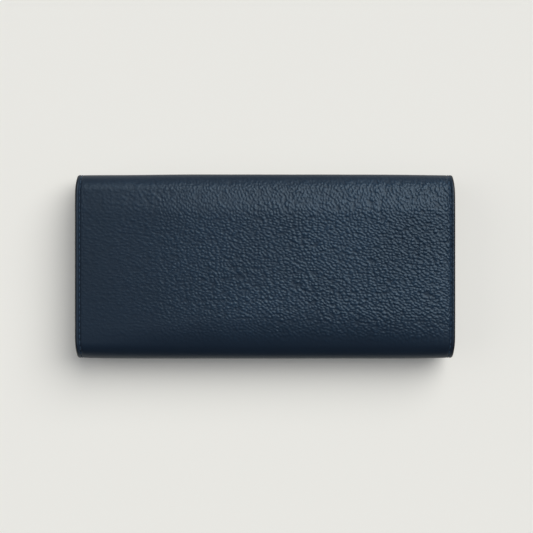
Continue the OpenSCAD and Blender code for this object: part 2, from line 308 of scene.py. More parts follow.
@dataclass
class Sheet:
    """A sheet of leather or cloth: a worked face, a plain back and a rounded rim."""

    section: Section
    reach: Callable[[Array], tuple[Array, Array]]
    thickness: float
    form: Callable[[Array, Array, Array], Array] = plain
    grain: Callable[[Array, Array, Array], Array] = plain
    edge_distance: Callable[[Array, Array], Array] | None = None
    rim: float = 0.3
    paint: float = 0.0
    cut: tuple[bool, bool] = (False, False)
    step: float = 1.0
    fine: float = 0.3
    fine_width: float = 3.0
    skip: int = 1
    lay: Lay = Lay.ALONG_X
    rim_rings: int = 5
    rows: Array | None = None
    columns: Array | None = None

    def edge(self, across: Array, along: Array) -> Array:
        """Distance from each point to the nearest real edge of the sheet.

        Args:
            across: the points' places across.
            along: their arc lengths.

        Returns:
            The distances.
        """
        if self.edge_distance is not None:
            return self.edge_distance(across, along)
        low, high = self.reach(along)
        near = np.minimum(across - low, high - across)
        if not self.cut[0]:
            near = np.minimum(near, along)
        if not self.cut[1]:
            near = np.minimum(near, self.section.length - along)
        return near

    def place(self, across: Array, along: Array, height: Array) -> Array:
        """Points in the frame, at a height over the section.

        Args:
            across: the points' places across.
            along: their arc lengths.
            height: their heights over the section.

        Returns:
            One row of X, Y and Z for each point.
        """
        point, normal = self.section.walk(along)
        first = point[..., 0] + normal[..., 0] * height
        second = point[..., 1] + normal[..., 1] * height
        if self.lay is Lay.ALONG_X:
            return np.stack([np.broadcast_to(across, height.shape), first, second], -1)
        return np.stack([first, np.broadcast_to(across, height.shape), second], -1)

    def normal(self, along: Array) -> Array:
        """The face's unit normals in the frame at the given arc lengths."""
        flat = self.section.walk(along)[1]
        zero = np.zeros(flat.shape[:-1])
        if self.lay is Lay.ALONG_X:
            return np.stack([zero, flat[..., 0], flat[..., 1]], -1)
        return np.stack([flat[..., 0], zero, flat[..., 1]], -1)

    def surface(self, across: Array, along: Array) -> Array:
        """Points on the face, with its form and without its grain."""
        return self.place(across, along, self.form(across, along, self.edge(across, along)))

    def seam_line(self, across: Array | float, along: Array | float) -> Line:
        """A line on the face for stitches: its points, and the face's normals there."""
        across, along = np.broadcast_arrays(np.asarray(across, float), np.asarray(along, float))
        return self.surface(across, along), self.normal(along)

    def build(self, name: str, materials: Sequence[Material]) -> Piece:
        """Makes the sheet's mesh.

        Args:
            name: name of the piece.
            materials: the face's material, and the rim's if that differs.

        Returns:
            The piece, not yet joined to the frame.
        """
        rows_at, across = self._places()
        rows, columns = across.shape
        down = np.broadcast_to(rows_at[:, None], across.shape)
        edge = self.edge(across, down)
        grain = self.grain(across, down, edge)
        face = self.place(across, down, self.form(across, down, edge) + grain)
        back = self.place(across, down, np.full(across.shape, -self.thickness))
        thinned = back[::self.skip, ::self.skip]
        shells = [shell.reshape(-1, 3) for shell in (face, back, thinned)]
        rings = self._rim_rings(shells[0], shells[1], rows_at, columns)
        faces, grid, before_rim = self._faces(rows, columns)

        piece = new_piece(name, np.concatenate([shells[0], *rings, shells[2]]), faces, materials[:1])
        self._mark_grain(piece.data, grain)
        self._sharpen_cuts(piece.data, rows, columns)
        if len(materials) > 1:
            piece.data.materials.append(materials[1])
            index = np.zeros(len(faces), np.int32)
            index[before_rim:] = 1
            painted = edge < self.rim + self.paint
            index[:len(grid)] = painted.reshape(-1)[grid].all(1)
            piece.data.polygons.foreach_set("material_index", index)
        return piece

    def _places(self) -> tuple[Array, Array]:
        """Where the face's grid lies, inside the rim.

        Returns:
            The arc length of each row, and for each of its points the place across.
        """
        along, share = self._stations()
        first = 0 if self.cut[0] else self.rim
        last = 0 if self.cut[1] else self.rim
        rows_at = first + along * (self.section.length - first - last) / self.section.length
        low, high = self.reach(rows_at)
        low, high = low + self.rim, high - self.rim
        return rows_at, low[:, None] + (high - low)[:, None] * share[None, :]

    def _rim_rings(self, face: Array, back: Array, rows_at: Array, columns: int) -> list[Array]:
        """Rings of points round the rim, between the face and the back.

        Args:
            face: the face's points, row by row.
            back: the back's points, row by row.
            rows_at: arc length of each row.
            columns: points in each row.

        Returns:
            The rings, from the face's side to the back's.
        """
        rows = len(rows_at)
        loop = self._loop(rows, columns)
        normal = np.repeat(self.normal(rows_at)[:, None, :], columns, 1).reshape(-1, 3)
        outward = self._outward(loop, rows, columns, back, normal)
        bulge = self._bulge(loop, rows, columns)
        rings = []
        for k in range(1, self.rim_rings):
            turn = math.pi * k / self.rim_rings
            depth = 0.5 * (1 - math.cos(turn))
            middle = face[loop] * (1 - depth) + back[loop] * depth
            rings.append(middle + outward * (bulge * math.sin(turn))[:, None])
        return rings

    def _faces(self, rows: int, columns: int) -> tuple[list[list[int]], Array, int]:
        """Joins face, back and rim.

        The back keeps only one point in every `skip` each way, so its border's faces have more
        corners on the rim's side.

        Args:
            rows: rows of the face's grid.
            columns: columns of the face's grid.

        Returns:
            Corner indices of every face, those of the face's side alone, and how many faces come
            before the rim's.
        """
        loop = self._loop(rows, columns)
        around = len(loop)
        starts = [rows * columns + k * around for k in range(self.rim_rings)]
        rings = [loop] + [start + np.arange(around) for start in starts[:-1]]
        back_rows, back_columns = (len(range(0, count, self.skip)) for count in (rows, columns))
        back_loop = starts[-1] + self._loop(back_rows, back_columns)

        grid = self._grid(0, rows, columns)
        back_grid = self._grid(starts[-1], back_rows, back_columns)[:, ::-1]
        faces = grid.tolist() + back_grid.tolist()
        for inner, outer in zip(rings[:-1], rings[1:]):
            here, there = np.roll(inner, -1), np.roll(outer, -1)
            faces += np.stack([inner, outer, there, here], 1).tolist()
        turns = len(back_loop)
        for k in range(turns):
            dense = [int(rings[-1][(k * self.skip + m) % around]) for m in range(self.skip + 1)]
            faces.append(dense[::-1] + [int(back_loop[k]), int(back_loop[(k + 1) % turns])])
        return faces, grid, len(grid) + len(back_grid)

    @staticmethod
    def _mark_grain(mesh: bpy.types.Mesh, grain: Array) -> None:
        """Stores the grain's height at each vertex as a share of its highest; the finish sets its gloss
        from it and paints shade into its valleys.
        """
        values = np.full(len(mesh.vertices), 0.5, np.float32)
        if grain.any():
            values[:grain.size] = grain.reshape(-1) / float(grain.max())
        mesh.attributes.new("grain", "FLOAT", "POINT").data.foreach_set("value", values)

    def _sharpen_cuts(self, mesh: bpy.types.Mesh, rows: int, columns: int) -> None:
        """Keeps the shading of the face clear of the flat ends where a hide is divided."""
        ends = np.empty(2 * len(mesh.edges), np.int32)
        mesh.edges.foreach_get("vertices", ends)
        ends = ends.reshape(-1, 2)
        first = ends.max(1) < columns
        last = (ends.min(1) >= (rows - 1) * columns) & (ends.max(1) < rows * columns)
        sharp = (first & self.cut[0]) | (last & self.cut[1])
        mesh.attributes.new("sharp_edge", "BOOLEAN", "EDGE").data.foreach_set("value", sharp)

    def _stations(self) -> tuple[Array, Array]:
        """Places of the rows, and of the columns as shares of a row's length."""
        along, share = self.rows, self.columns
        if along is None:
            along = stations(self.section.length, self.step, self.fine, self.fine_width,
                             (not self.cut[0], not self.cut[1]), self.skip)
        if share is None:
            low, high = self.reach(along)
            width = float(np.max(high - low))
            share = stations(width, self.step, self.fine, self.fine_width, (True, True), self.skip) / width
        return along, share

    @staticmethod
    def _loop(rows: int, columns: int) -> Array:
        """Indices round the border of a grid, each once."""
        grid = np.arange(rows * columns).reshape(rows, columns)
        return np.concatenate([grid[0], grid[1:, -1], grid[-1, -2::-1], grid[-2:0:-1, 0]])

    @staticmethod
    def _grid(base: int, rows: int, columns: int) -> Array:
        """Corner indices of a grid's faces."""
        at = base + np.arange(rows * columns).reshape(rows, columns)
        corners = [at[:-1, :-1], at[:-1, 1:], at[1:, 1:], at[1:, :-1]]
        return np.stack([c.reshape(-1) for c in corners], 1)

    def _outward(self, loop: Array, rows: int, columns: int, flat: Array, normal: Array) -> Array:
        """Unit directions out of the sheet, in its own plane, round its border.

        Args:
            loop: indices round the border.
            rows: rows of the grid.
            columns: columns of the grid.
            flat: the back's points.
            normal: the face's normals at them.

        Returns:
            One direction for each point of the border; along X or Y alone at a cut's corners.
        """
        line = flat[loop]
        tangent = np.roll(line, -1, 0) - np.roll(line, 1, 0)
        out = np.cross(tangent, normal[loop])
        out /= np.maximum(np.linalg.norm(out, axis=1, keepdims=True), 1e-9)
        middle = flat.mean(0)
        if np.mean(np.einsum("ij,ij->i", out, line - middle)) < 0:
            out = -out
        axis = 0 if self.lay is Lay.ALONG_X else 1
        row, column = loop // columns, loop % columns
        corner = (column == 0) | (column == columns - 1)
        square = corner & (((row == 0) & self.cut[0]) | ((row == rows - 1) & self.cut[1]))
        out[square] = 0
        out[square, axis] = np.where(column[square] == 0, -1, 1)
        return out

    def _bulge(self, loop: Array, rows: int, columns: int) -> Array:
        """How far the rim stands out at each point of the border: not at all where the hide is cut."""
        row, column = loop // columns, loop % columns
        inside = (column > 0) & (column < columns - 1)
        flat = inside & (((row == 0) & self.cut[0]) | ((row == rows - 1) & self.cut[1]))
        return np.where(flat, 0.0, self.rim)


# ---- Meshes ----


def new_piece(name: str, vertices: Array, faces: Sequence[Sequence[int]],
              materials: Sequence[Material]) -> Piece:
    """Makes a smooth-shaded object in the scene.

    Args:
        name: name of the piece.
        vertices: one row for each vertex, in millimetres.
        faces: corner indices of each face.
        materials: the piece's materials.

    Returns:
        The object, with its faces turned outwards.
    """
    mesh = bpy.data.meshes.new(name)
    mesh.from_pydata((np.asarray(vertices) * MM).tolist(), [], faces)
    for material in materials:
        mesh.materials.append(material)
    work = bmesh.new()
    work.from_mesh(mesh)
    bmesh.ops.recalc_face_normals(work, faces=work.faces)
    work.to_mesh(mesh)
    work.free()
    mesh.polygons.foreach_set("use_smooth", np.ones(len(mesh.polygons), bool))
    piece = bpy.data.objects.new(name, mesh)
    bpy.context.scene.collection.objects.link(piece)
    return piece


class Solid:
    """Closed shapes gathered into one mesh."""

    def __init__(self) -> None:
        """Starts with nothing."""
        self.vertices: list[Array] = []
        self.faces: list[list[int]] = []
        self.count = 0

    def add(self, vertices: Array, faces: Sequence[Sequence[int]]) -> None:
        """Adds one shape."""
        self.faces += [[int(i) + self.count for i in face] for face in faces]
        self.vertices.append(np.asarray(vertices, float))
        self.count += len(vertices)

    def slab(self, outline: Sequence[tuple[float, float]], low: float, high: float,
             round_by: float, up: int = 1) -> None:
        """Adds a flat shape with rounded upper and lower edges.

        Args:
            outline: its corners in order, as seen along the axis that it is raised on.
            low: where it starts on that axis.
            high: where it ends.
            round_by: radius of its edges.
            up: the axis, 0 for X, 1 for Y or 2 for Z.
        """
        corners = np.asarray(outline, float)
        turns = np.linspace(0, 0.5 * math.pi, 5)
        levels = [(low + round_by * (1 - math.cos(turn)), round_by * (1 - math.sin(turn)))
                  for turn in turns]
        levels += [(high - (at - low), inset) for at, inset in levels[::-1]]
        self.stack(corners, levels, up)

    def stack(self, outline: Array, levels: Sequence[tuple[float, float]], up: int) -> None:
        """Adds a shape from (place on an axis, distance that the outline is drawn in) levels."""
        self.loft([self._raised(self._inset(outline, inset), at, up) for at, inset in levels])

    def loft(self, rings: Sequence[Array]) -> None:
        """Adds a closed tube through rings of the same number of points, with flat ends.

        Args:
            rings: one array of points for each ring.
        """
        around = len(rings[0])
        faces: list[list[int]] = [list(range(around))[::-1]]
        for k in range(len(rings) - 1):
            for m in range(around):
                n = (m + 1) % around
                faces.append([k * around + m, k * around + n, (k + 1) * around + n, (k + 1) * around + m])
        faces.append([(len(rings) - 1) * around + m for m in range(around)])
        self.add(np.concatenate(rings), faces)

    def lathe(self, profile: Sequence[tuple[float, float]], centre: Point, up: int = 2,
              segments: int = 48) -> None:
        """Adds a turned shape.

        Args:
            profile: (radius, height) of each ring, from one end to the other.
            centre: middle of the shape at height 0.
            up: its axis, 0 for X, 1 for Y or 2 for Z.
            segments: points in each ring.
        """
        turn = np.linspace(0, 2 * math.pi, segments, endpoint=False)
        rings = []
        for radius, height in profile:
            ring = np.zeros((segments, 3))
            ring[:, (up + 1) % 3] = max(radius, 1e-3) * np.cos(turn)
            ring[:, (up + 2) % 3] = max(radius, 1e-3) * np.sin(turn)
            ring[:, up] = height
            rings.append(ring + np.asarray(centre))
        self.loft(rings)

    def piece(self, name: str, *materials: Material) -> Piece:
        """Makes the gathered shapes one piece."""
        return new_piece(name, np.concatenate(self.vertices), self.faces, materials)

    @staticmethod
    def _inset(corners: Array, by: float) -> Array:
        """An outline drawn in towards its inside by a distance.

        Args:
            corners: the outline's corners, in order.
            by: the distance.

        Returns:
            The new corners.
        """
        before, after = np.roll(corners, 1, 0) - corners, np.roll(corners, -1, 0) - corners
        before /= np.maximum(np.linalg.norm(before, axis=1, keepdims=True), 1e-9)
        after /= np.maximum(np.linalg.norm(after, axis=1, keepdims=True), 1e-9)
        ahead = np.roll(corners, -1, 0)
        area = np.sum(corners[:, 0] * ahead[:, 1] - ahead[:, 0] * corners[:, 1])
        side = 1 if area > 0 else -1
        lean = side * np.stack([-after[:, 1], after[:, 0]], 1)
        normal = lean + side * np.stack([before[:, 1], -before[:, 0]], 1)
        normal /= np.maximum(np.linalg.norm(normal, axis=1, keepdims=True), 1e-9)
        share = np.maximum(np.einsum("ij,ij->i", normal, lean), 0.4)
        return corners + normal * (by / share)[:, None]

    @staticmethod
    def _raised(corners: Array, at: float, up: int) -> Array:
        """An outline put at a height on one axis."""
        ring = np.zeros((len(corners), 3))
        ring[:, (up + 1) % 3], ring[:, (up + 2) % 3], ring[:, up] = corners[:, 0], corners[:, 1], at
        return ring


def rounded_box(half_a: float, half_b: float, radius: float, steps: int = 5) -> Outline:
    """Corners of a rectangle with round corners, about the origin.

    Args:
        half_a: half its size along the first axis.
        half_b: half its size along the second axis.
        radius: radius of its corners.
        steps: stretches in each corner.

    Returns:
        The outline, counter-clockwise.
    """
    outline = []
    for quarter, (a, b) in enumerate([(1, 1), (-1, 1), (-1, -1), (1, -1)]):
        for k in range(steps + 1):
            turn = 0.5 * math.pi * (quarter + k / steps)
            outline.append((a * (half_a - radius) + radius * math.cos(turn),
                            b * (half_b - radius) + radius * math.sin(turn)))
    return outline


# ---- Joining pieces to the frame ----


@dataclass(frozen=True)
class Fold:
    """A crease that a piece bends over: its two bodies, and where the bend starts and ends."""

    first: Body
    second: Body
    start: Point
    end: Point


def settle(piece: Piece, on: Body | Fold, slot: Slot, *nodes: str) -> None:
    """Parents a finished piece to a body's empty; over a fold it only keeps its place.

    Args:
        piece: the piece.
        on: the body that it rides on, or the fold that it lies over.
        slot: the material slot that its finish belongs to; not used.
        nodes: the CAD nodes that it stands for.
    """
    if isinstance(on, Fold):
        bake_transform(piece)
        where = f"{on.first.value} to {on.second.value}"
    else:
        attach(piece, on.value)
        where = on.value
    if nodes:
        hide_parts(*nodes)
    LOG.info("%s: %d faces, %s", piece.name, len(piece.data.polygons), where)


# ---- Finishes ----


def linear(colour: str) -> tuple[float, float, float, float]:
    """Turns an sRGB hex colour linear.

    Args:
        colour: the colour, such as "#1c2436".

    Returns:
        Linear red, green and blue, and an alpha of 1.
    """
    parts = [int(colour[k:k + 2], 16) / 255 for k in (1, 3, 5)]
    red, green, blue = (p / 12.92 if p <= 0.04045 else ((p + 0.055) / 1.055) ** 2.4 for p in parts)
    return red, green, blue, 1.0


def per_mm(size: float) -> float:
    """Scale of a texture whose pattern has this size in millimetres."""
    return 1 / (size * MM)


def add_node(tree: Tree, kind: str, settings: dict[str | int, Any] | None = None,
             links: dict[str | int, Socket] | None = None) -> bpy.types.Node:
    """Adds a node with its settings and links.

    Args:
        tree: the node tree.
        kind: type of the node.
        settings: values of its properties, or of its inputs by name or number.
        links: sockets that feed its inputs, by the inputs' names or numbers.

    Returns:
        The node.
    """
    node = tree.nodes.new(kind)
    for key, value in (settings or {}).items():
        if isinstance(key, str) and hasattr(node, key):
            setattr(node, key, value)
        else:
            node.inputs[key].default_value = value
    for key, socket in (links or {}).items():
        tree.links.new(socket, node.inputs[key])
    return node


def close_material(tree: Tree, settings: dict[str, Any], links: dict[str, Socket]) -> None:
    """Ends a node tree in a surface shader and the output."""
    shader = add_node(tree, "ShaderNodeBsdfPrincipled", settings, links)
    add_node(tree, "ShaderNodeOutputMaterial", {}, {"Surface": shader.outputs[0]})


class Finish:
    """A finish of the wallet, which lays out the nodes of its own surface."""

    name: str

    def surface(self, tree: Tree, place: Socket) -> None:
        """Lays out the nodes in a material's tree, from each point's place on its piece."""
        raise NotImplementedError

    def make(self) -> Material:
        """Builds the material.

        Returns:
            The material.
        """
        material = bpy.data.materials.new(self.name)
        material.use_nodes = True
        tree = material.node_tree
        tree.nodes.clear()
        self.surface(tree, add_node(tree, "ShaderNodeTexCoord").outputs["Object"])
        return material


@dataclass(frozen=True)
class MilledCowhide(Finish):
    """Full-grain cowhide, drum-milled until its grain shrinks into pebbles, then sealed.

    The eye gets satin pebbles with painted shade in their valleys, a dye that is a little uneven,
    and pores. The finish coat carries blue dye, so its sheen is a little blue as well.
    """

    name: str = "navy_milled_cowhide"
    raised: str = "#203345"
    # valley: painted shade, the colour laid into the grain's hollows
    valley: str = "#0e1927"
    cloudy: str = "#192a3a"
    sheen: str = "#d6ecfa"
    smooth_top: float = 0.31
    rough_valley: float = 0.46
    patch: float = 34.0
    pore: float = 0.32
    crease: float = 0.9
    pore_depth: float = 0.045

    def surface(self, tree: Tree, place: Socket) -> None:
        """Lays out the nodes."""
        grain = add_node(tree, "ShaderNodeAttribute", {"attribute_name": "grain"}).outputs["Fac"]
        patches = add_node(tree, "ShaderNodeTexNoise", {"Scale": per_mm(self.patch), "Detail": 2.0},
                           {"Vector": place}).outputs["Fac"]
        worn = add_node(tree, "ShaderNodeMapRange", {"From Min": 0.35, "From Max": 0.7}, {0: patches})
        dye = add_node(tree, "ShaderNodeMix", {"data_type": "RGBA", 6: linear(self.raised),
                                               7: linear(self.cloudy)}, {0: worn.outputs[0]})
        # painted shade: the lower the grain, the more of the dark valley colour
        depth = add_node(tree, "ShaderNodeMapRange", {"From Min": -0.06, "From Max": 0.5}, {0: grain})
        colour = add_node(tree, "ShaderNodeMix", {"data_type": "RGBA", 6: linear(self.valley)},
                          {0: depth.outputs[0], 7: dye.outputs[2]})
        gloss = add_node(tree, "ShaderNodeMapRange",
                         {"From Min": 0.0, "From Max": 0.8, "To Min": self.rough_valley,
                          "To Max": self.smooth_top}, {0: grain})
        pores = add_node(tree, "ShaderNodeTexNoise", {"Scale": per_mm(self.pore), "Detail": 3.0},
                         {"Vector": place}).outputs["Fac"]
        creases = add_node(tree, "ShaderNodeTexVoronoi",
                           {"feature": "DISTANCE_TO_EDGE", "Scale": per_mm(self.crease)},
                           {"Vector": place}).outputs["Distance"]
        fine = add_node(tree, "ShaderNodeMath", {"operation": "MULTIPLY_ADD", 1: 0.6},
                        {0: creases, 2: pores}).outputs[0]
        bumps = add_node(tree, "ShaderNodeBump", {"Strength": 0.8, "Distance": self.pore_depth * MM},
                         {"Height": fine}).outputs[0]
        close_material(tree, {"IOR": 1.45, "Specular Tint": linear(self.sheen)},
                       {"Base Color": colour.outputs[2], "Roughness": gloss.outputs[0], "Normal": bumps})


@dataclass(frozen=True)
class PrintedCalf(Finish):
    """Thin chrome-tanned leather with a fine grain pressed into it and a satin lacquer.

    The eye gets an even, quiet surface whose tiny grain only shows where light rakes over it.
    """

    name: str
    colour: str
    shade: str
    roughness: float
    patch: float = 18.0
    cell: float = 0.75
    depth: float = 0.05

    def surface(self, tree: Tree, place: Socket) -> None:
        """Lays out the nodes."""
        cells = add_node(tree, "ShaderNodeTexVoronoi",
                         {"feature": "DISTANCE_TO_EDGE", "Scale": per_mm(self.cell)},
                         {"Vector": place}).outputs["Distance"]
        patches = add_node(tree, "ShaderNodeTexNoise", {"Scale": per_mm(self.patch), "Detail": 3.0},
                           {"Vector": place}).outputs["Fac"]
        colour = add_node(tree, "ShaderNodeMix", {"data_type": "RGBA", 6: linear(self.colour),
                                                  7: linear(self.shade)}, {0: patches})
        gloss = add_node(tree, "ShaderNodeMapRange", {"To Min": self.roughness - 0.05,
                                                      "To Max": self.roughness + 0.08}, {0: patches})
        pressed = add_node(tree, "ShaderNodeMapRange", {"From Max": 0.25}, {0: cells}).outputs[0]
        bumps = add_node(tree, "ShaderNodeBump", {"Strength": 0.7, "Distance": self.depth * MM},
                         {"Height": pressed}).outputs[0]
        close_material(tree, {"IOR": 1.5},
                       {"Base Color": colour.outputs[2], "Roughness": gloss.outputs[0], "Normal": bumps})


@dataclass(frozen=True)
class EdgePaint(Finish):
    """Acrylic edge paint, brushed on in coats and burnished: dark, closed and slightly glossy."""

    name: str = "painted_leather_edge"
    colour: str = "#07090d"
    roughness: float = 0.42
    brush: float = 0.9

    def surface(self, tree: Tree, place: Socket) -> None:
        """Lays out the nodes."""
        coats = add_node(tree, "ShaderNodeTexNoise", {"Scale": per_mm(self.brush), "Detail": 2.0},
                         {"Vector": place}).outputs["Fac"]
        gloss = add_node(tree, "ShaderNodeMapRange", {"To Min": self.roughness - 0.1,
                                                      "To Max": self.roughness + 0.1}, {0: coats})
        bumps = add_node(tree, "ShaderNodeBump", {"Strength": 0.5, "Distance": 0.05 * MM},
                         {"Height": coats}).outputs[0]
        close_material(tree, {"Base Color": linear(self.colour), "IOR": 1.4},
                       {"Roughness": gloss.outputs[0], "Normal": bumps})


@dataclass(frozen=True)
class WaxedThread(Finish):
    """Bonded polyester thread, twisted of three plies and waxed: soft gleam, fibres across."""

    name: str = "waxed_polyester_thread"
    colour: str = "#2b4860"
    shade: str = "#1b2737"
    ply: float = 0.16

    def surface(self, tree: Tree, place: Socket) -> None:
        """Lays out the nodes."""
        plies = add_node(tree, "ShaderNodeTexNoise", {"Scale": per_mm(self.ply), "Detail": 1.0},
                         {"Vector": place}).outputs["Fac"]
        colour = add_node(tree, "ShaderNodeMix", {"data_type": "RGBA", 6: linear(self.shade),
                                                  7: linear(self.colour)}, {0: plies})
        bumps = add_node(tree, "ShaderNodeBump", {"Strength": 0.6, "Distance": 0.06 * MM},
                         {"Height": plies}).outputs[0]
        close_material(tree, {"Roughness": 0.6, "IOR": 1.4, "Sheen Weight": 0.06},
                       {"Base Color": colour.outputs[2], "Normal": bumps})


@dataclass(frozen=True)
class PlatedMetal(Finish):
    """Cast or pressed metal, tumbled and nickel plated: bright, with faint tumbling marks."""

    name: str
    colour: str
    roughness: float
    mark: float = 0.8

    def surface(self, tree: Tree, place: Socket) -> None:
        """Lays out the nodes."""
        marks = add_node(tree, "ShaderNodeTexNoise", {"Scale": per_mm(self.mark), "Detail": 4.0},
                         {"Vector": place}).outputs["Fac"]
        gloss = add_node(tree, "ShaderNodeMapRange", {"To Min": self.roughness - 0.06,
                                                      "To Max": self.roughness + 0.1}, {0: marks})
        bumps = add_node(tree, "ShaderNodeBump", {"Strength": 0.25, "Distance": 0.02 * MM},
                         {"Height": marks}).outputs[0]
        close_material(tree, {"Base Color": linear(self.colour), "Metallic": 1.0},
                       {"Roughness": gloss.outputs[0], "Normal": bumps})


@dataclass(frozen=True)
class WovenTape(Finish):
    """Polyester zip tape in a herringbone weave: matt, with fine ribs along it.

    Real yarns lie 0.3 mm apart; the ribs are drawn at 0.6 mm so that they show. At a scale of 1 the
    bands of a wave texture lie 0.31 apart, so its scale is 0.31 of the yarns'.
    """

    name: str = "woven_polyester_tape"
    colour: str = "#101725"
    shade: str = "#1c2636"
    yarn: float = 0.6
    wave: float = 0.31

    def surface(self, tree: Tree, place: Socket) -> None:
        """Lays out the nodes."""
        scale = self.wave * per_mm(self.yarn)
        ribs, weft = (
            add_node(tree, "ShaderNodeTexWave",
                     {"bands_direction": direction, "Scale": scale, "Distortion": waver},
                     {"Vector": place}).outputs["Fac"]
            for direction, waver in (("DIAGONAL", 0.6), ("X", 0.3)))
        weave = add_node(tree, "ShaderNodeMath", {"operation": "MAXIMUM"}, {0: ribs, 1: weft}).outputs[0]
        colour = add_node(tree, "ShaderNodeMix", {"data_type": "RGBA", 6: linear(self.colour),
                                                  7: linear(self.shade)}, {0: weave})
        bumps = add_node(tree, "ShaderNodeBump", {"Strength": 0.8, "Distance": 0.12 * MM},
                         {"Height": weave}).outputs[0]
        close_material(tree, {"Roughness": 0.8, "IOR": 1.5, "Sheen Weight": 0.3},
                       {"Base Color": colour.outputs[2], "Normal": bumps})


@dataclass(frozen=True)
class OpalSheet(Finish):
    """Matt opal acrylic sheet whose material glows a little: painted light that keeps shadows on it pale.
    """

    name: str = "matt_opal_sheet"
    colour: str = "#e4e2da"
    glow_colour: str = "#e8e7e3"
    # glow: painted light, an emission that lifts the shadows on the sheet
    glow: float = 0.14
    tooth: float = 1.5

    def surface(self, tree: Tree, place: Socket) -> None:
        """Lays out the nodes."""
        tooth = add_node(tree, "ShaderNodeTexNoise", {"Scale": per_mm(self.tooth)},
                         {"Vector": place}).outputs["Fac"]
        bumps = add_node(tree, "ShaderNodeBump", {"Strength": 0.1, "Distance": 0.02 * MM},
                         {"Height": tooth}).outputs[0]
        close_material(tree, {"Base Color": linear(self.colour), "Roughness": 0.9,
                              "Specular IOR Level": 0.1, "Emission Color": linear(self.glow_colour),
                              "Emission Strength": self.glow}, {"Normal": bumps})


class Finishes:
    """Every material of the wallet, made once."""

    def __init__(self) -> None:
        """Builds the materials."""
        self.hide = MilledCowhide().make()
        self.edge = EdgePaint().make()
        self.lining = PrintedCalf("navy_lining_calf", "#25354a", "#1e2b3e", roughness=0.52).make()
        self.pocket = PrintedCalf("navy_gusset_calf", "#203045", "#1a2738", roughness=0.5).make()
        self.card = PrintedCalf("navy_printed_calf", "#1f3046", "#192839", roughness=0.42).make()
        self.thread = WaxedThread().make()
        self.nickel = PlatedMetal("nickel_plated_brass", "#c8c4ba", 0.24).make()
        self.casting = PlatedMetal("nickel_plated_zinc_casting", "#cfccc4", 0.2).make()
        self.tape = WovenTape().make()


# ---- Sizes ----


def span(node: str, axis: int) -> tuple[float, float]:
    """Lowest and highest coordinate of a CAD node along one axis, in millimetres."""
    low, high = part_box(node)
    return low[axis] / MM, high[axis] / MM


def centred(node: str, axis: int) -> tuple[float, float]:
    """Middle and half size of a CAD node along one axis, in millimetres."""
    low, high = span(node, axis)
    return (low + high) / 2, (high - low) / 2


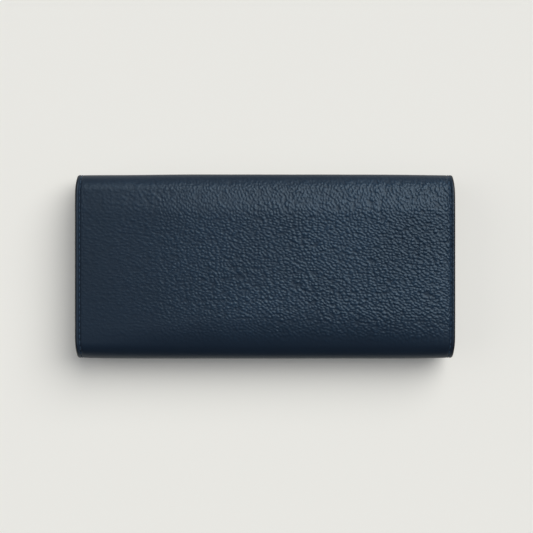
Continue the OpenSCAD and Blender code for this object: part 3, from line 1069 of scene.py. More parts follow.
@dataclass(frozen=True)
class Layout:
    """The wallet's main sizes, read from the frame."""

    half_l: float = span("back_leather", 0)[1]
    half_d: float = span("spine_leather", 1)[1]
    top: float = span("back_leather", 2)[1]
    crease_y: float = -span("back_leather", 1)[0]
    flap_end: float = span("flap_leather", 1)[0]
    mouth: float = span("front_leather", 1)[1]
    hide_t: float = span("flap_board", 2)[0]
    lining_z: float = span("card_strip_1", 2)[0]
    front_z: float = span("front_leather", 2)[0]
    rear_gap: tuple[float, float] = (span("coin_wall_rear", 2)[1], span("gusset_rear_left", 2)[1])
    front_gap: tuple[float, float] = (span("gusset_front_left", 2)[0], span("coin_wall_front", 2)[0])
    card_y: tuple[float, float] = span("card_strip_1", 1)
    gusset_tip: float = span("gusset_front_right", 0)[0]
    seam_in: float = 2.2
    corner_r: float = 7.0

    @property
    def crease_r(self) -> float:
        """Outside radius of every crease."""
        return self.half_d - self.crease_y

    @property
    def lining_t(self) -> float:
        """Thickness of lining and board together."""
        return self.lining_z - self.hide_t

    @property
    def middle(self) -> float:
        """Height of the spine's middle, where back and flap meet."""
        return self.top / 2

    def back_path(self, inset: float) -> Array:
        """Outline of the back: up the spine, over the back and down to the base's middle."""
        r, y, high = self.crease_r, self.crease_y, self.top - self.crease_r
        side = self.half_d - inset
        return np.concatenate([
            run((side, self.middle), (side, high)),
            bend((y, high), r - inset, 0, 90),
            run((y, self.top - inset), (-y, self.top - inset)),
            bend((-y, high), r - inset, 90, 180),
            run((-side, high), (-side, self.base_z)),
        ])

    def base_path(self, inset: float) -> Array:
        """Outline of the base: from its middle round to the crease of the front."""
        r, y, low = self.crease_r, self.crease_y, self.front_z + self.crease_r
        side = self.half_d - inset
        return np.concatenate([
            run((-side, self.base_z), (-side, low)),
            bend((-y, low), r - inset, 180, 225),
        ])

    def flap_path(self, inset: float, end: float) -> Array:
        """Outline of the flap: down the spine and under the wallet, to its free edge."""
        r, y, side = self.crease_r, self.crease_y, self.half_d - inset
        return np.concatenate([
            run((side, self.middle), (side, r)),
            bend((y, r), r - inset, 0, -90),
            run((y, inset), (end, inset)),
        ])

    def front_path(self, inset: float, end: float) -> Array:
        """Outline of the front: out of the base and under the compartments, to the mouth."""
        r, y, low = self.crease_r, self.crease_y, self.front_z + self.crease_r
        return np.concatenate([
            bend((-y, low), r - inset, 225, 270),
            run((-y, self.front_z + inset), (end, self.front_z + inset)),
        ])

    def flap_round(self, length: float, inset: float, first: float) -> Array:
        """A line round the flap's three free sides, in X and in length along the flap.

        Args:
            length: the flap's length, from the spine's middle to its free edge.
            inset: how far in from the hide's edge the line runs.
            first: length at which it starts and ends.

        Returns:
            One row for each point, from the right end to the left.
        """
        radius = self.corner_r - inset
        down = np.linspace(first, length - self.corner_r, 500)
        right = np.stack([np.full(down.shape, self.half_l - inset), down], 1)
        turn = np.radians(np.linspace(0, 90, 40))[1:]
        corner = np.stack([self.half_l - self.corner_r + radius * np.cos(turn),
                           length - self.corner_r + radius * np.sin(turn)], 1)
        across = np.linspace(1, 0, 200)[1:] * (self.half_l - self.corner_r)
        edge = np.stack([across, np.full(across.shape, length - inset)], 1)
        half = np.concatenate([right, corner, edge])
        return np.concatenate([half, half[-2::-1] * [-1, 1]])

    @property
    def base_z(self) -> float:
        """Height of the base's middle, where the hide's stretches meet."""
        return (self.front_z + self.top) / 2

    @property
    def back_to_pocket(self) -> Fold:
        """The lower crease of the base, between back and coin pocket."""
        low = self.front_z + self.crease_r
        turn = math.radians(225)
        end = (0, -self.crease_y + self.crease_r * math.cos(turn), low + self.crease_r * math.sin(turn))
        return Fold(Body.BACK, Body.COIN_POCKET, (0, -self.half_d, low), end)

    @property
    def pocket_to_front(self) -> Fold:
        """The crease between base and front."""
        start = self.back_to_pocket.end
        return Fold(Body.COIN_POCKET, Body.FRONT, start, (0, -self.crease_y, self.front_z))

    @property
    def spine_to_back(self) -> Fold:
        """The upper crease of the spine."""
        r = self.crease_r
        return Fold(Body.SPINE, Body.BACK, (0, self.half_d, self.top - r), (0, self.crease_y, self.top))

    @property
    def spine_to_flap(self) -> Fold:
        """The lower crease of the spine."""
        return Fold(Body.SPINE, Body.FLAP, (0, self.half_d, self.crease_r), (0, self.crease_y, 0))


# ---- Stitches ----


@dataclass(frozen=True)
class Seam:
    """A row of lockstitches in bonded thread.

    Attributes:
        pitch: length of a stitch with the gap after it.
        drawn: share of the pitch over which the thread is seen.
        radius: half the thread's thickness.
        sink: how far a stitch's ends go down into their holes.
        slant: how far its ends lie to the two sides of the line.
        sides: points round the thread.
        rings: rings along a stitch.
    """

    pitch: float = 3.03
    drawn: float = 0.80
    radius: float = 0.30
    sink: float = 0.30
    slant: float = 0.10
    sides: int = 8
    rings: int = 7

    def sew(self, name: str, lines: Sequence[Line], thread: Material) -> Piece:
        """Makes the stitches along some lines.

        Args:
            name: name of the piece.
            lines: for each line, its points and the surface's normals there.
            thread: the thread's material.

        Returns:
            All the stitches as one piece.
        """
        solid = Solid()
        for points, normals in lines:
            self._line(solid, points, normals)
        return solid.piece(name, thread)

    def _line(self, solid: Solid, points: Array, normals: Array) -> None:
        """Adds the stitches of one line to a solid.

        Args:
            solid: what they are added to.
            points: the line's points.
            normals: the surface's normals there.
        """
        reach = np.concatenate([[0], np.cumsum(np.linalg.norm(np.diff(points, axis=0), axis=1))])
        count = max(1, int(round(reach[-1] / self.pitch)))
        pitch = reach[-1] / count
        turn = np.linspace(0, 2 * math.pi, self.sides, endpoint=False)
        share = np.linspace(-1, 1, self.rings)
        for k in range(count):
            along = (k + 0.5) * pitch + share * 0.5 * self.drawn * pitch
            middle = np.stack([np.interp(along, reach, points[:, a]) for a in range(3)], 1)
            up = np.stack([np.interp(along, reach, normals[:, a]) for a in range(3)], 1)
            up /= np.linalg.norm(up, axis=1, keepdims=True)
            tangent = np.gradient(middle, axis=0)
            tangent /= np.linalg.norm(tangent, axis=1, keepdims=True)
            side = np.cross(tangent, up)
            lift = 0.45 * self.radius - self.sink * share ** 4
            middle = middle + up * lift[:, None] + side * (self.slant * share)[:, None]
            thick = self.radius * (1 - 0.45 * share ** 4)
            rings = []
            for m in range(self.rings):
                ply = 1 + 0.10 * np.cos(3 * turn + 4.5 * share[m])
                ring = np.outer(np.cos(turn) * ply, side[m]) + 0.85 * np.outer(np.sin(turn) * ply, up[m])
                rings.append(middle[m] + thick[m] * ring)
            solid.loft(rings)


# ---- The outer hide ----


@dataclass
class OuterHide:
    """The one hide that makes back, base, spine, flap and front, with its edges and seams.

    Its places run along one line: 0 at the spine's middle, up over the back, round the base and
    along the front, and below 0 along the flap.

    Attributes:
        grain_cell: mean size of a pebble.
        grain_depth: height of the fullest pebbles, a little more than real ones have.
        groove_depth: how far the seam pulls the hide in.
        groove_width: width of that groove.
        crown: how far the contents fill the back out.
        crown_rise: places along X between which the crown rises, towards the fuller right half.
        shoulder: how far the back sinks before its folds.
        spine_sink: how many times further it sinks before the spine than before the base.
        run_on: how far it goes on sinking past the base's crease.
        belly: how far the folds swell out.
        square: how square the panel stays towards its ends; the spine's swelling stays less so.
        narrow: how far the ends draw in over the folds.
        rim: reach of the rounded edge.
        paint: width of the edge paint that shows on the face.
    """

    layout: Layout
    finishes: Finishes
    grain_cell: float = 1.56
    grain_depth: float = 0.76
    groove_depth: float = 0.72
    groove_width: float = 1.15
    crown: float = 1.3
    crown_rise: tuple[float, float] = (-105.0, 10.0)
    shoulder: float = 0.55
    spine_sink: float = 1.25
    run_on: float = 3.0
    belly: float = 0.55
    square: tuple[float, float] = (9.0, 2.2)
    narrow: float = 0.5
    rim: float = 0.5
    paint: float = 0.28
    seam: Seam = field(default_factory=Seam)

    def __post_init__(self) -> None:
        """Lays out the sheets."""
        lay = self.layout
        back = Section(lay.back_path(0), -1)
        base = Section(lay.base_path(0), -1)
        flap = Section(lay.flap_path(0, lay.flap_end), 1)
        front = Section(lay.front_path(0, lay.mouth), -1)
        self.flat_from = back.length_at(0, lay.crease_y)
        self.flat_to = back.length_at(0, -lay.crease_y)
        self.base_from = back.length
        self.front_from = back.length + base.length
        self.flap_length = flap.length
        self.back = self._sheet(back, 0, (True, True), self._back_rows(back.length))
        self.base = self._sheet(base, self.base_from, (True, True), None)
        self.front = self._sheet(front, self.front_from, (True, False), None)
        self.flap = Sheet(flap, self._flap_reach, lay.hide_t,
                          form=lambda x, s, e: self._form(x, -s, e),
                          grain=lambda x, s, e: self._grain(x, -s, e),
                          edge_distance=self._flap_edge, rim=self.rim, paint=self.paint, cut=(True, False),
                          step=0.62, fine=0.25, fine_width=4.0, skip=4)

    def dress(self) -> None:
        """Builds the hide's pieces and their stitches, and hides the CAD nodes that they stand for."""
        lay, finish = self.layout, self.finishes
        hide = (finish.hide, finish.edge)
        settle(self.back.build("back_hide", hide), lay.spine_to_back, Slot.HIDE,
               "back_leather", "spine_leather")
        settle(self.base.build("base_hide", hide), lay.back_to_pocket, Slot.HIDE, "base_leather")
        settle(self.front.build("front_hide", hide), lay.pocket_to_front, Slot.HIDE, "front_leather")
        settle(self.flap.build("flap_hide", hide), lay.spine_to_flap, Slot.HIDE, "flap_leather")

        self._sew("back_stitches", [self._end_line(self.back, side, 0.8, 0.3) for side in Side],
                  lay.spine_to_back, "back_seam_left", "back_seam_right")
        self._sew("base_stitches", [self._end_line(self.base, side, 0.3, 0.3) for side in Side],
                  lay.back_to_pocket)
        self._sew("front_end_stitches",
                  [self._end_line(self.front, side, 0.3, lay.seam_in + 1.2) for side in Side],
                  lay.pocket_to_front)
        self._sew("front_mouth_stitches", self._mouth_lines(), Body.FRONT, "front_seam")
        self._sew("flap_stitches", [self._flap_line(self.flap, 0.8)], lay.spine_to_flap)

    def _sheet(self, section: Section, start: float, cut: tuple[bool, bool],
               rows: Array | None) -> Sheet:
        """A straight-ended stretch of the hide that starts at a place along it."""
        return Sheet(section, lambda s: self._reach(s + start), self.layout.hide_t,
                     form=lambda x, s, e: self._form(x, s + start, e),
                     grain=lambda x, s, e: self._grain(x, s + start, e),
                     rim=self.rim, paint=self.paint, cut=cut, step=0.62, fine=0.25, fine_width=4.0, skip=4,
                     rows=rows, columns=self._columns() if rows is not None else None)

    def _back_rows(self, length: float) -> Array:
        """Rows of the back: close together where the grain shows, wider over the folds."""
        fine = (self.flat_from - 4, self.flat_to - 3)
        parts = [np.linspace(0, fine[0], 21)[:-1], np.linspace(*fine, 185)[:-1],
                 np.linspace(fine[1], length, 29)]
        return np.concatenate(parts)

    def _columns(self) -> Array:
        """Columns of the back, as shares of its length: closer together to the right."""
        ends, coarse, full = 4.0, 42.0, 2 * self.layout.half_l
        parts = [np.linspace(0, ends, 17)[:-1], np.linspace(ends, coarse, 59)[:-1],
                 np.linspace(coarse, full - ends, 319)[:-1], np.linspace(full - ends, full, 17)]
        return np.concatenate(parts) / full

    def _sew(self, name: str, lines: Sequence[Line], on: Body | Fold,
             *nodes: str) -> None:
        """Sews along some lines and settles the thread on its body or fold."""
        settle(self.seam.sew(name, lines, self.finishes.thread), on, Slot.THREAD, *nodes)

    def _end_line(self, sheet: Sheet, side: Side, first: float, last: float) -> Line:
        """The seam's line along one end of a sheet, stopping short of its two edges."""
        along = np.linspace(first, sheet.section.length - last, 700)
        return sheet.seam_line(side.value * (sheet.reach(along)[1] - self.layout.seam_in), along)

    def _mouth_lines(self) -> list[Line]:
        """The seam's lines along the front's mouth, on the hide and on the lining."""
        lay, sheet = self.layout, self.front
        across = np.linspace(-1, 1, 500) * (lay.half_l - lay.seam_in)
        outside = sheet.seam_line(across, sheet.section.length - lay.seam_in)
        across = np.linspace(-1, 1, 500) * lay.gusset_tip
        level = np.full(across.shape, lay.front_z + lay.hide_t + lay.lining_t)
        inside = np.stack([across, np.full(across.shape, lay.mouth - lay.seam_in), level], 1)
        return [outside, (inside, np.tile([0.0, 0.0, 1.0], (len(across), 1)))]

    def _flap_line(self, sheet: Sheet, first: float) -> Line:
        """The seam's line round the flap's three free sides."""
        line = self.layout.flap_round(self.flap_length, self.layout.seam_in, first)
        return sheet.seam_line(line[:, 0], line[:, 1])

    def _reach(self, place: Array) -> tuple[Array, Array]:
        """Ends of the hide: they draw in a little over the folds."""
        flat = within(place, (self.flat_from - 9, self.flat_from + 3),
                      (self.flat_to - 3, self.flat_to + 9))
        flat = flat + smooth(place, self.front_from + 4, self.front_from + 14)
        flat = flat + smooth(-place, 2, 20)
        half = self.layout.half_l - self.narrow * (1 - flat)
        return -half, half

    def _flap_reach(self, along: Array) -> tuple[Array, Array]:
        """Ends of the flap, with its two free corners rounded."""
        radius = self.layout.corner_r
        into = np.clip(radius - (self.flap_length - along), 0, radius)
        half = self._reach(-along)[1] - (radius - np.sqrt(radius ** 2 - into ** 2))
        return -half, half

    def _flap_edge(self, across: Array, along: Array) -> Array:
        """Distance to the flap's edge, round its corners too."""
        lay, half = self.layout, self._reach(-along)[1]
        beyond_x = np.maximum(np.abs(across) - (half - lay.corner_r), 0)
        beyond_s = np.maximum(along - (self.flap_length - lay.corner_r), 0)
        straight = np.minimum(half - np.abs(across), self.flap_length - along)
        corner = lay.corner_r - np.hypot(beyond_x, beyond_s)
        return np.where((beyond_x > 0) & (beyond_s > 0), corner, straight)

    def _form(self, across: Array, place: Array, edge: Array) -> Array:
        """The hide's soft shape: crowned back, bellied folds, slack, and its seams.

        Args:
            across: each point's place across.
            place: its place along the hide.
            edge: its distance to the hide's edge.

        Returns:
            Height of each point over the plain outline.
        """
        share = np.clip(np.abs(across) / self.layout.half_l, 0, 1)
        width = 1 - share ** np.where(place > self.flat_to - 12, *self.square)
        quiet = 1 - smooth(place, self.front_from - 6, self.front_from + 8)
        quiet = quiet * (1 - smooth(-place, 2, 16))
        over = self._shoulders(across, place)
        panel = (1 - over) * (1 - share ** self.square[0])
        fill = self.crown * smooth(across, *self.crown_rise)
        folded = within(place, (self.flat_from - 12, self.flat_from - 4),
                        (self.flat_to + 4, self.flat_to + 12))
        top = folded * (fill * panel - (0.35 * self.shoulder + 0.3 * fill) * over)
        belly = self.belly * (1 - folded) * quiet * width
        slack = 0.2 * quiet * (cloud(across + 300, place + 300, 26, 5) - 0.5)
        sink = -0.5 * self.grain_depth * (1 - quiet)
        return top + belly + slack + sink + self._seam_form(edge, folded)

    def _shoulders(self, across: Array, place: Array) -> Array:
        """How far the back has sunk from its filled panel towards a fold: 0 on it, 1 or more past it.

        The back rounds off slowly before each fold, and over the base it runs on a little way.

        Args:
            across: each point's place across.
            place: its place along the hide.

        Returns:
            The share sunk; before the spine it grows to spine_sink.
        """
        spine = self.spine_sink * (1 - smooth(place, self.flat_from - 4, self.flat_from + 12))
        reach = 8 + 8 * smooth(across, -80, 20)
        before = np.clip(1 + (place - self.flat_to) / reach, 0, 1) ** 2
        past = np.maximum(place - self.flat_to, 0) / self.run_on
        return spine + before + 2 * self.run_on / reach * past * np.exp(-past)

    def _seam_form(self, edge: Array, panel: Array) -> Array:
        """The groove that the seam pulls into the hide, and the lip between it and the edge.

        Args:
            edge: distance to the hide's edge.
            panel: 1 on the back's panel, 0 past its folds, where the groove is shallower.

        Returns:
            Height of each place.
        """
        groove_depth = self.groove_depth * (0.4 + 0.6 * panel)
        groove = -groove_depth * dip(edge - self.layout.seam_in, self.groove_width)
        lip = 0.12 * dip(edge - 0.5 * self.layout.seam_in, 1.3)
        roll = -0.18 * (1 - smooth(edge, 0.2, 0.9))
        return groove + lip + roll

    def _grain(self, across: Array, place: Array, edge: Array) -> Array:
        """Height of the pebble grain, drawn out across the spine's upper fold.

        Args:
            across: each point's place across.
            place: its place along the hide.
            edge: its distance to the hide's edge.

        Returns:
            The heights, 0 in the valleys.
        """
        fold = self.flat_from
        pull = 0.7 + 0.95 * smooth(place, fold - 16, fold - 4) * (1 - smooth(place, fold + 4, fold + 18))
        warp_u = 0.9 * (cloud(across + 700, place + 300, 4, 21) - 0.5)
        warp_v = 0.9 * (cloud(across + 400, place + 300, 4, 22) - 0.5)
        u, v = across + 400 + warp_u, place + 300 + warp_v
        big = pebbles(u, v, self.grain_cell, pull, 3)
        small = pebbles(u, v, 0.6 * self.grain_cell, pull, 4)
        pressed = 0.3 + 0.7 * smooth(edge, 0.3, 3.4)
        return self.grain_depth * (0.72 * big + 0.28 * small) * pressed * self._strength(across, place)

    def _strength(self, across: Array, place: Array) -> Array:
        """How strong the grain is: it runs out to the left, over the base and on the spine.

        Args:
            across: each point's place across.
            place: its place along the hide.

        Returns:
            A factor on the grain's depth.
        """
        right = 0.12 + 0.88 * smooth(across, -115, 62)
        patch = 0.82 + 0.36 * cloud(across + 320, place + 500, 20, 9)
        top = smooth(place, self.flat_from - 11, self.flat_from - 2)
        top = top * (1 - 0.5 * smooth(place, self.flat_to - 20, self.flat_to - 4))
        top = top * (1 - 0.95 * smooth(place, self.flat_to - 6, self.flat_to + 3))
        flap = 0.6 * smooth(-place, 10, 30)
        front = 0.6 * smooth(place, self.front_from + 6, self.front_from + 26)
        return 0.03 + right * patch * top + flap + front


@dataclass
class Linings:
    """Split-leather linings of back, base, spine, flap and front, each over its board."""

    layout: Layout
    finishes: Finishes
    set_in: float = 0.4
    gap: float = 0.02
    seam: Seam = field(default_factory=lambda: Seam(pitch=3.0, sink=0.24, radius=0.27))

    def dress(self) -> None:
        """Builds the linings and their stitches, and hides the CAD nodes that they stand for."""
        lay = self.layout
        inner = lay.hide_t + lay.lining_t
        self.flap = self._sheet(lay.flap_path(inner, lay.flap_end + self.set_in), -1, (True, False))
        self.flap.reach = self._flap_reach
        self._settle("back_lining_sheet", self._sheet(lay.back_path(inner), 1, (True, True)),
                     lay.spine_to_back, "back_lining", "back_board", "spine_lining")
        self._settle("base_lining_sheet", self._sheet(lay.base_path(inner), 1, (True, True)),
                     lay.back_to_pocket, "base_lining")
        front = self._sheet(lay.front_path(inner, lay.mouth - self.set_in), 1, (True, False))
        self._settle("front_lining_sheet", front, lay.pocket_to_front, "front_lining", "front_board")
        self._settle("flap_lining_sheet", self.flap, lay.spine_to_flap, "flap_lining", "flap_board")
        stitches = self.seam.sew("flap_lining_stitches", self._flap_lines(), self.finishes.thread)
        settle(stitches, lay.spine_to_flap, Slot.THREAD, "flap_seam")

    def _sheet(self, path: Array, inward: int, cut: tuple[bool, bool]) -> Sheet:
        """A stretch of lining along a path."""
        half = self.layout.half_l - self.set_in
        return Sheet(Section(path, inward), between(-half, half), self.layout.lining_t - self.gap,
                     form=self._form, rim=0.22, cut=cut, step=1.5, fine=0.5, fine_width=3.0, skip=2)

    def _settle(self, name: str, sheet: Sheet, fold: Fold, *nodes: str) -> None:
        """Builds one lining and hides the CAD nodes that it stands for."""
        settle(sheet.build(name, (self.finishes.lining, self.finishes.edge)), fold, Slot.LINING, *nodes)

    def _form(self, across: Array, along: Array, edge: Array) -> Array:
        """A crease line tooled inside the edge, and a little slack."""
        slack = 0.05 * (cloud(across + 300, along + 100, 14, 31) - 0.5)
        return slack - 0.1 * dip(edge - (self.layout.seam_in - self.set_in), 0.9) - 0.025

    def _flap_reach(self, along: Array) -> tuple[Array, Array]:
        """Ends of the flap's lining, with its free corners rounded."""
        lay, length = self.layout, self.flap.section.length
        radius = lay.corner_r - self.set_in
        into = np.clip(radius - (length - along), 0, radius)
        half = lay.half_l - self.set_in - (radius - np.sqrt(radius ** 2 - into ** 2))
        return -half, half

    def _flap_lines(self) -> list[Line]:
        """The seam on the lining: clear of the card strips, which have stitches of their own."""
        lay, sheet = self.layout, self.flap
        length = sheet.section.length + self.set_in
        line = lay.flap_round(length, lay.seam_in, 0.8)
        places, normals = sheet.seam_line(line[:, 0], line[:, 1])
        low, high = lay.card_y
        covered = (np.abs(line[:, 0]) > lay.half_l - lay.seam_in - 0.1) & (places[:, 1] > low - 0.6)
        covered &= (places[:, 1] < high + 0.6) & (places[:, 2] < lay.crease_r / 2)
        runs = np.split(np.arange(len(line)), np.flatnonzero(np.diff(covered.astype(int))) + 1)
        return [(places[r], normals[r]) for r in runs if not covered[r[0]] and len(r) > 8]


# ---- Inside the flap ----


@dataclass
class CardPockets:
    """Three stepped strips of thin calf on the flap's lining, in two columns of card slots."""

    layout: Layout
    finishes: Finishes
    crease_in: float = 1.6
    seam_in: float = 1.2
    card_w: float = 85.6
    column_gap: float = 3.2
    swell: float = 0.14
    seam: Seam = field(default_factory=lambda: Seam(pitch=2.6, radius=0.2, sink=0.22, slant=0.06))

    def dress(self) -> None:
        """Builds the strips, from the lowest up."""
        for number in (1, 2, 3):
            node = f"card_strip_{number}"
            half, (low, high), (bottom, top) = span(node, 0)[1], span(node, 1), span(node, 2)
            sheet = Sheet(Section(run((high, top), (low, top)), -1), between(-half, half),
                          top - bottom - 0.02, form=self._form, rim=0.2, step=1.0, fine=0.22,
                          fine_width=3.4, skip=2)
            start = span(f"card_strip_{number + 1}", 1)[1] if number < 3 else low
            piece = sheet.build(f"card_strip_{number}_leather", (self.finishes.card,))
            settle(piece, Body.FLAP, Slot.CARD, node)
            down = np.linspace(0.7, max(high - start - 0.6, 2.0), 120)
            lines = [sheet.seam_line(x, down) for x in (-half + self.seam_in, 0.0, half - self.seam_in)]
            if number == 3:
                foot = np.linspace(-half + 2.6, half - 2.6, 300)
                lines.append(sheet.seam_line(foot, sheet.section.length - self.seam_in))
            settle(self.seam.sew(f"card_strip_{number}_stitches", lines, self.finishes.thread),
                   Body.FLAP, Slot.THREAD)
        LOG.info("card pockets: three strips, six slots")

    def _form(self, across: Array, along: Array, edge: Array) -> Array:
        """A tooled line behind the lip, seams down the sides and the middle, and room for cards."""
        column = np.abs(across) - self.column_gap - self.card_w / 2
        card = smooth(self.card_w / 2 + 0.8 - np.abs(column), 0, 2.4) * smooth(along, 0, 4)
        tooled = -0.12 * dip(along - self.crease_in, 0.55)
        seams = -0.14 * dip(across, 0.8)
        seams = seams - 0.10 * dip(edge - self.seam_in, 0.8) * smooth(along, 1.0, 2.0)
        return self.swell * card + tooled + seams - 0.02


@dataclass
class Snap:
    """Ring snap of pressed brass: a socket on the flap's lining and a stud on the front."""

    finishes: Finishes
    wire: float = 0.2

    def dress(self) -> None:
        """Builds the socket and the stud."""
        (centre_x, radius), centre_y = centred("snap_socket", 0), centred("snap_socket", 1)[0]
        bottom, top = span("snap_socket", 2)
        height = top - bottom
        solid = Solid()
        ring, hole = 0.68 * radius, 0.48 * radius
        solid.lathe([(0, 0.25), (hole - 0.1, 0.25), (hole, 0.35), (hole, height - 0.25),
                     (hole + 0.12, height - 0.06), (hole + 0.3, height), (ring - 0.25, height),
                     (ring - 0.07, height - 0.08), (ring, height - 0.25), (ring, 0.72),
                     (ring + 0.12, 0.56), (ring + 0.3, 0.5), (radius - 0.35, 0.5),
                     (radius - 0.12, 0.42), (radius, 0.25), (radius - 0.05, 0.02), (0, 0.01)],
                    (centre_x, centre_y, bottom))
        reach = 0.75 * hole
        wire = [(0, -reach), (self.wire, -reach + 0.05), (self.wire, reach - 0.05), (0, reach)]
        for side in Side:
            place = (centre_x + side.value * 0.82 * hole, centre_y, bottom + 0.62 * height)
            solid.lathe(wire, place, up=1, segments=12)
        settle(solid.piece("snap_socket_brass", self.finishes.nickel), Body.FLAP, Slot.SNAP_METAL,
               "snap_socket")
        bottom, top = span("snap_stud", 2)
        base, drop = span("snap_stud", 0)[1], top - bottom
        solid = Solid()
        solid.lathe([(0, 0), (base, -0.02), (base, -0.14), (base - 0.2, -0.25), (2.1, -0.25),
                     (1.75, -0.36), (1.5, -0.6), (1.5, -0.8), (1.72, -0.98), (1.78, -1.12),
                     (1.72, -1.28), (1.3, -drop + 0.02), (0, -drop)], (centre_x, centre_y, top))
        settle(solid.piece("snap_stud_brass", self.finishes.nickel), Body.FRONT, Slot.SNAP_METAL,
               "snap_stud")


# ---- Compartments ----


@dataclass
class Gussets:
    """Folded leaves of leather that close the ends of the note compartments."""

    layout: Layout
    finishes: Finishes
    thickness: float = 0.6
    glued: float = 4.5
    tip: float = 0.9

    def dress(self) -> None:
        """Builds four leaves and the two feet below them."""
        lay = self.layout
        for side in Side:
            self._leaf(Bank.REAR, side, lay.rear_gap, Body.COIN_POCKET, Body.BACK)
            self._leaf(Bank.FRONT, side, lay.front_gap, Body.FRONT, Body.COIN_POCKET)
            self._foot(side)

    def _leaf(self, bank: Bank, side: Side, gap: tuple[float, float], lower: Body, upper: Body) -> None:
        """Builds one leaf, folded in a V between its two bodies.

        Args:
            bank: the compartment that it closes.
            side: the end at which it stands.
            gap: lowest and highest level between its two bodies.
            lower: body under the gap.
            upper: body over it.
        """
        node = f"gusset_{bank.word}_{side.word}"
        (low_x, high_x), (low_y, high_y) = span(node, 0), span(node, 1)
        outer, inner = (high_x, low_x) if side is Side.RIGHT else (low_x, high_x)
        low, high = gap
        middle, turn = (low + high) / 2, side.value
        glue_x, tip_x = outer - turn * self.glued, inner + turn * self.tip
        knots = [(outer, high - 0.02), (glue_x, high - 0.02), (tip_x, middle + self.tip),
                 (inner, middle), (tip_x, middle - self.tip), (glue_x, low + 0.02), (outer, low + 0.02)]
        section = Section(soften(np.array(knots)), 1 if side is Side.RIGHT else -1)
        leaf = Sheet(section, between(low_y, high_y), self.thickness, form=self._form, rim=0.2,
                     step=1.0, fine=0.35, fine_width=1.2, lay=Lay.ALONG_Y)
        fold = Fold(upper, lower, (0, 0, high), (0, 0, low))
        settle(leaf.build(f"{node}_leaf", (self.finishes.pocket, self.finishes.edge)), fold,
               Slot.POCKET, node)

    @staticmethod
    def _form(across: Array, along: Array, edge: Array) -> Array:
        """Soft wrinkles across the fold."""
        return 0.05 * (cloud(across + 200, 0.4 * along + 60, 5, 41) - 0.5) - 0.03

    def _foot(self, side: Side) -> None:
        """Builds the dished piece that closes the base below the leaves."""
        node = f"gusset_foot_{side.word}"
        (low_x, high_x), (low_y, high_y) = span(node, 0), span(node, 1)
        low_z, high_z = span(node, 2)
        radius = high_y - low_y
        outline = np.concatenate([bend((high_y, high_z - radius), radius, 92, 180),
                                  bend((high_y, low_z + radius), radius, 180, 268)])[::6]
        outside, inside = (high_x, low_x) if side is Side.RIGHT else (low_x, high_x)
        inward = -side.value
        levels = [(inside + 0.25 * inward, 1.6), (inside + 0.1 * inward, 0.7), (inside, 0.25),
                  (inside - 0.1 * inward, 0.05), (outside + 0.15 * inward, 0.0), (outside, 0.2),
                  (outside + 0.12 * inward, 0.7), (outside + 0.3 * inward, 1.6)]
        solid = Solid()
        solid.stack(outline, levels, up=0)
        settle(solid.piece(f"{node}_leather", self.finishes.pocket), Body.BACK, Slot.POCKET, node)


@dataclass
class CoinPocket:
    """The zipped pocket between the note compartments: two walls, a foot and two ends."""

    layout: Layout
    finishes: Finishes
    thickness: float = 0.7
    rows: tuple[float, float] = (1.8, 7.2)
    seam: Seam = field(default_factory=lambda: Seam(pitch=2.8, radius=0.23, sink=0.24))

    def dress(self) -> None:
        """Builds the pocket's leather."""
        for bank in Bank:
            self._wall(bank)
        self._foot()
        for side in Side:
            self._end(side)

    def _wall(self, bank: Bank) -> None:
        """Builds one wall, with the two rows of stitches that hold its tape.

        Args:
            bank: the wall, whose face is turned away from the other one.
        """
        node = f"coin_wall_{bank.word}"
        half, (low, high), levels = span(node, 0)[1], span(node, 1), span(node, 2)
        level = levels[1] if bank is Bank.REAR else levels[0]
        sheet = Sheet(Section(run((high, level), (low, level)), -bank.value), between(-half, half),
                      self.thickness - 0.02, form=self._form, rim=0.25, step=1.2, fine=0.3,
                      fine_width=3.0, skip=1)
        piece = sheet.build(f"{node}_leather", (self.finishes.card, self.finishes.edge))
        settle(piece, Body.COIN_POCKET, Slot.POCKET, node)
        across = np.linspace(-half + 2, half - 2, 300)
        lines = [sheet.seam_line(across, row) for row in self.rows]
        settle(self.seam.sew(f"{node}_stitches", lines, self.finishes.thread), Body.COIN_POCKET,
               Slot.THREAD)

    def _form(self, across: Array, along: Array, edge: Array) -> Array:
        """Furrows under the two rows of stitches, and a little slack."""
        furrows = sum(-0.12 * dip(along - row, 0.8) for row in self.rows)
        slack = 0.06 * (cloud(across + 200, along + 70, 16, 51) - 0.5) * smooth(edge, 0, 4)
        return furrows + slack - 0.03

    def _foot(self) -> None:
        """Builds the turned strip that joins the two walls at the base."""
        half, (low, high) = span("coin_foot", 0)[1], span("coin_foot", 1)
        centre, half_z = centred("coin_foot", 2)
        outline = [(a + centre, b) for a, b in rounded_box(half_z, half, 0.6)]
        solid = Solid()
        solid.slab(outline, low, high, 0.3, up=1)
        settle(solid.piece("coin_foot_leather", self.finishes.card), Body.COIN_POCKET, Slot.POCKET,
               "coin_foot")

    def _end(self, side: Side) -> None:
        """Builds one end: a leaf with a soft crease pressed inwards."""
        node = f"coin_end_{side.word}"
        (low_y, high_y), (low_z, high_z) = span(node, 1), span(node, 2)
        outer = side.value * max(abs(v) for v in span(node, 0))
        middle, turn = (low_z + high_z) / 2, side.value
        knots = [(outer, high_z), (outer - 0.1 * turn, high_z - 1.6), (outer - 0.9 * turn, middle),
                 (outer - 0.1 * turn, low_z + 1.6), (outer, low_z)]
        section = Section(soften(np.array(knots)), 1 if side is Side.RIGHT else -1)
        leaf = Sheet(section, between(low_y, high_y), self.thickness - 0.05, rim=0.2, step=0.9,
                     fine=0.3, fine_width=1.0, lay=Lay.ALONG_Y)
        settle(leaf.build(f"{node}_leather", (self.finishes.card, self.finishes.edge)),
               Body.COIN_POCKET, Slot.POCKET, node)


# ---- Zip ----


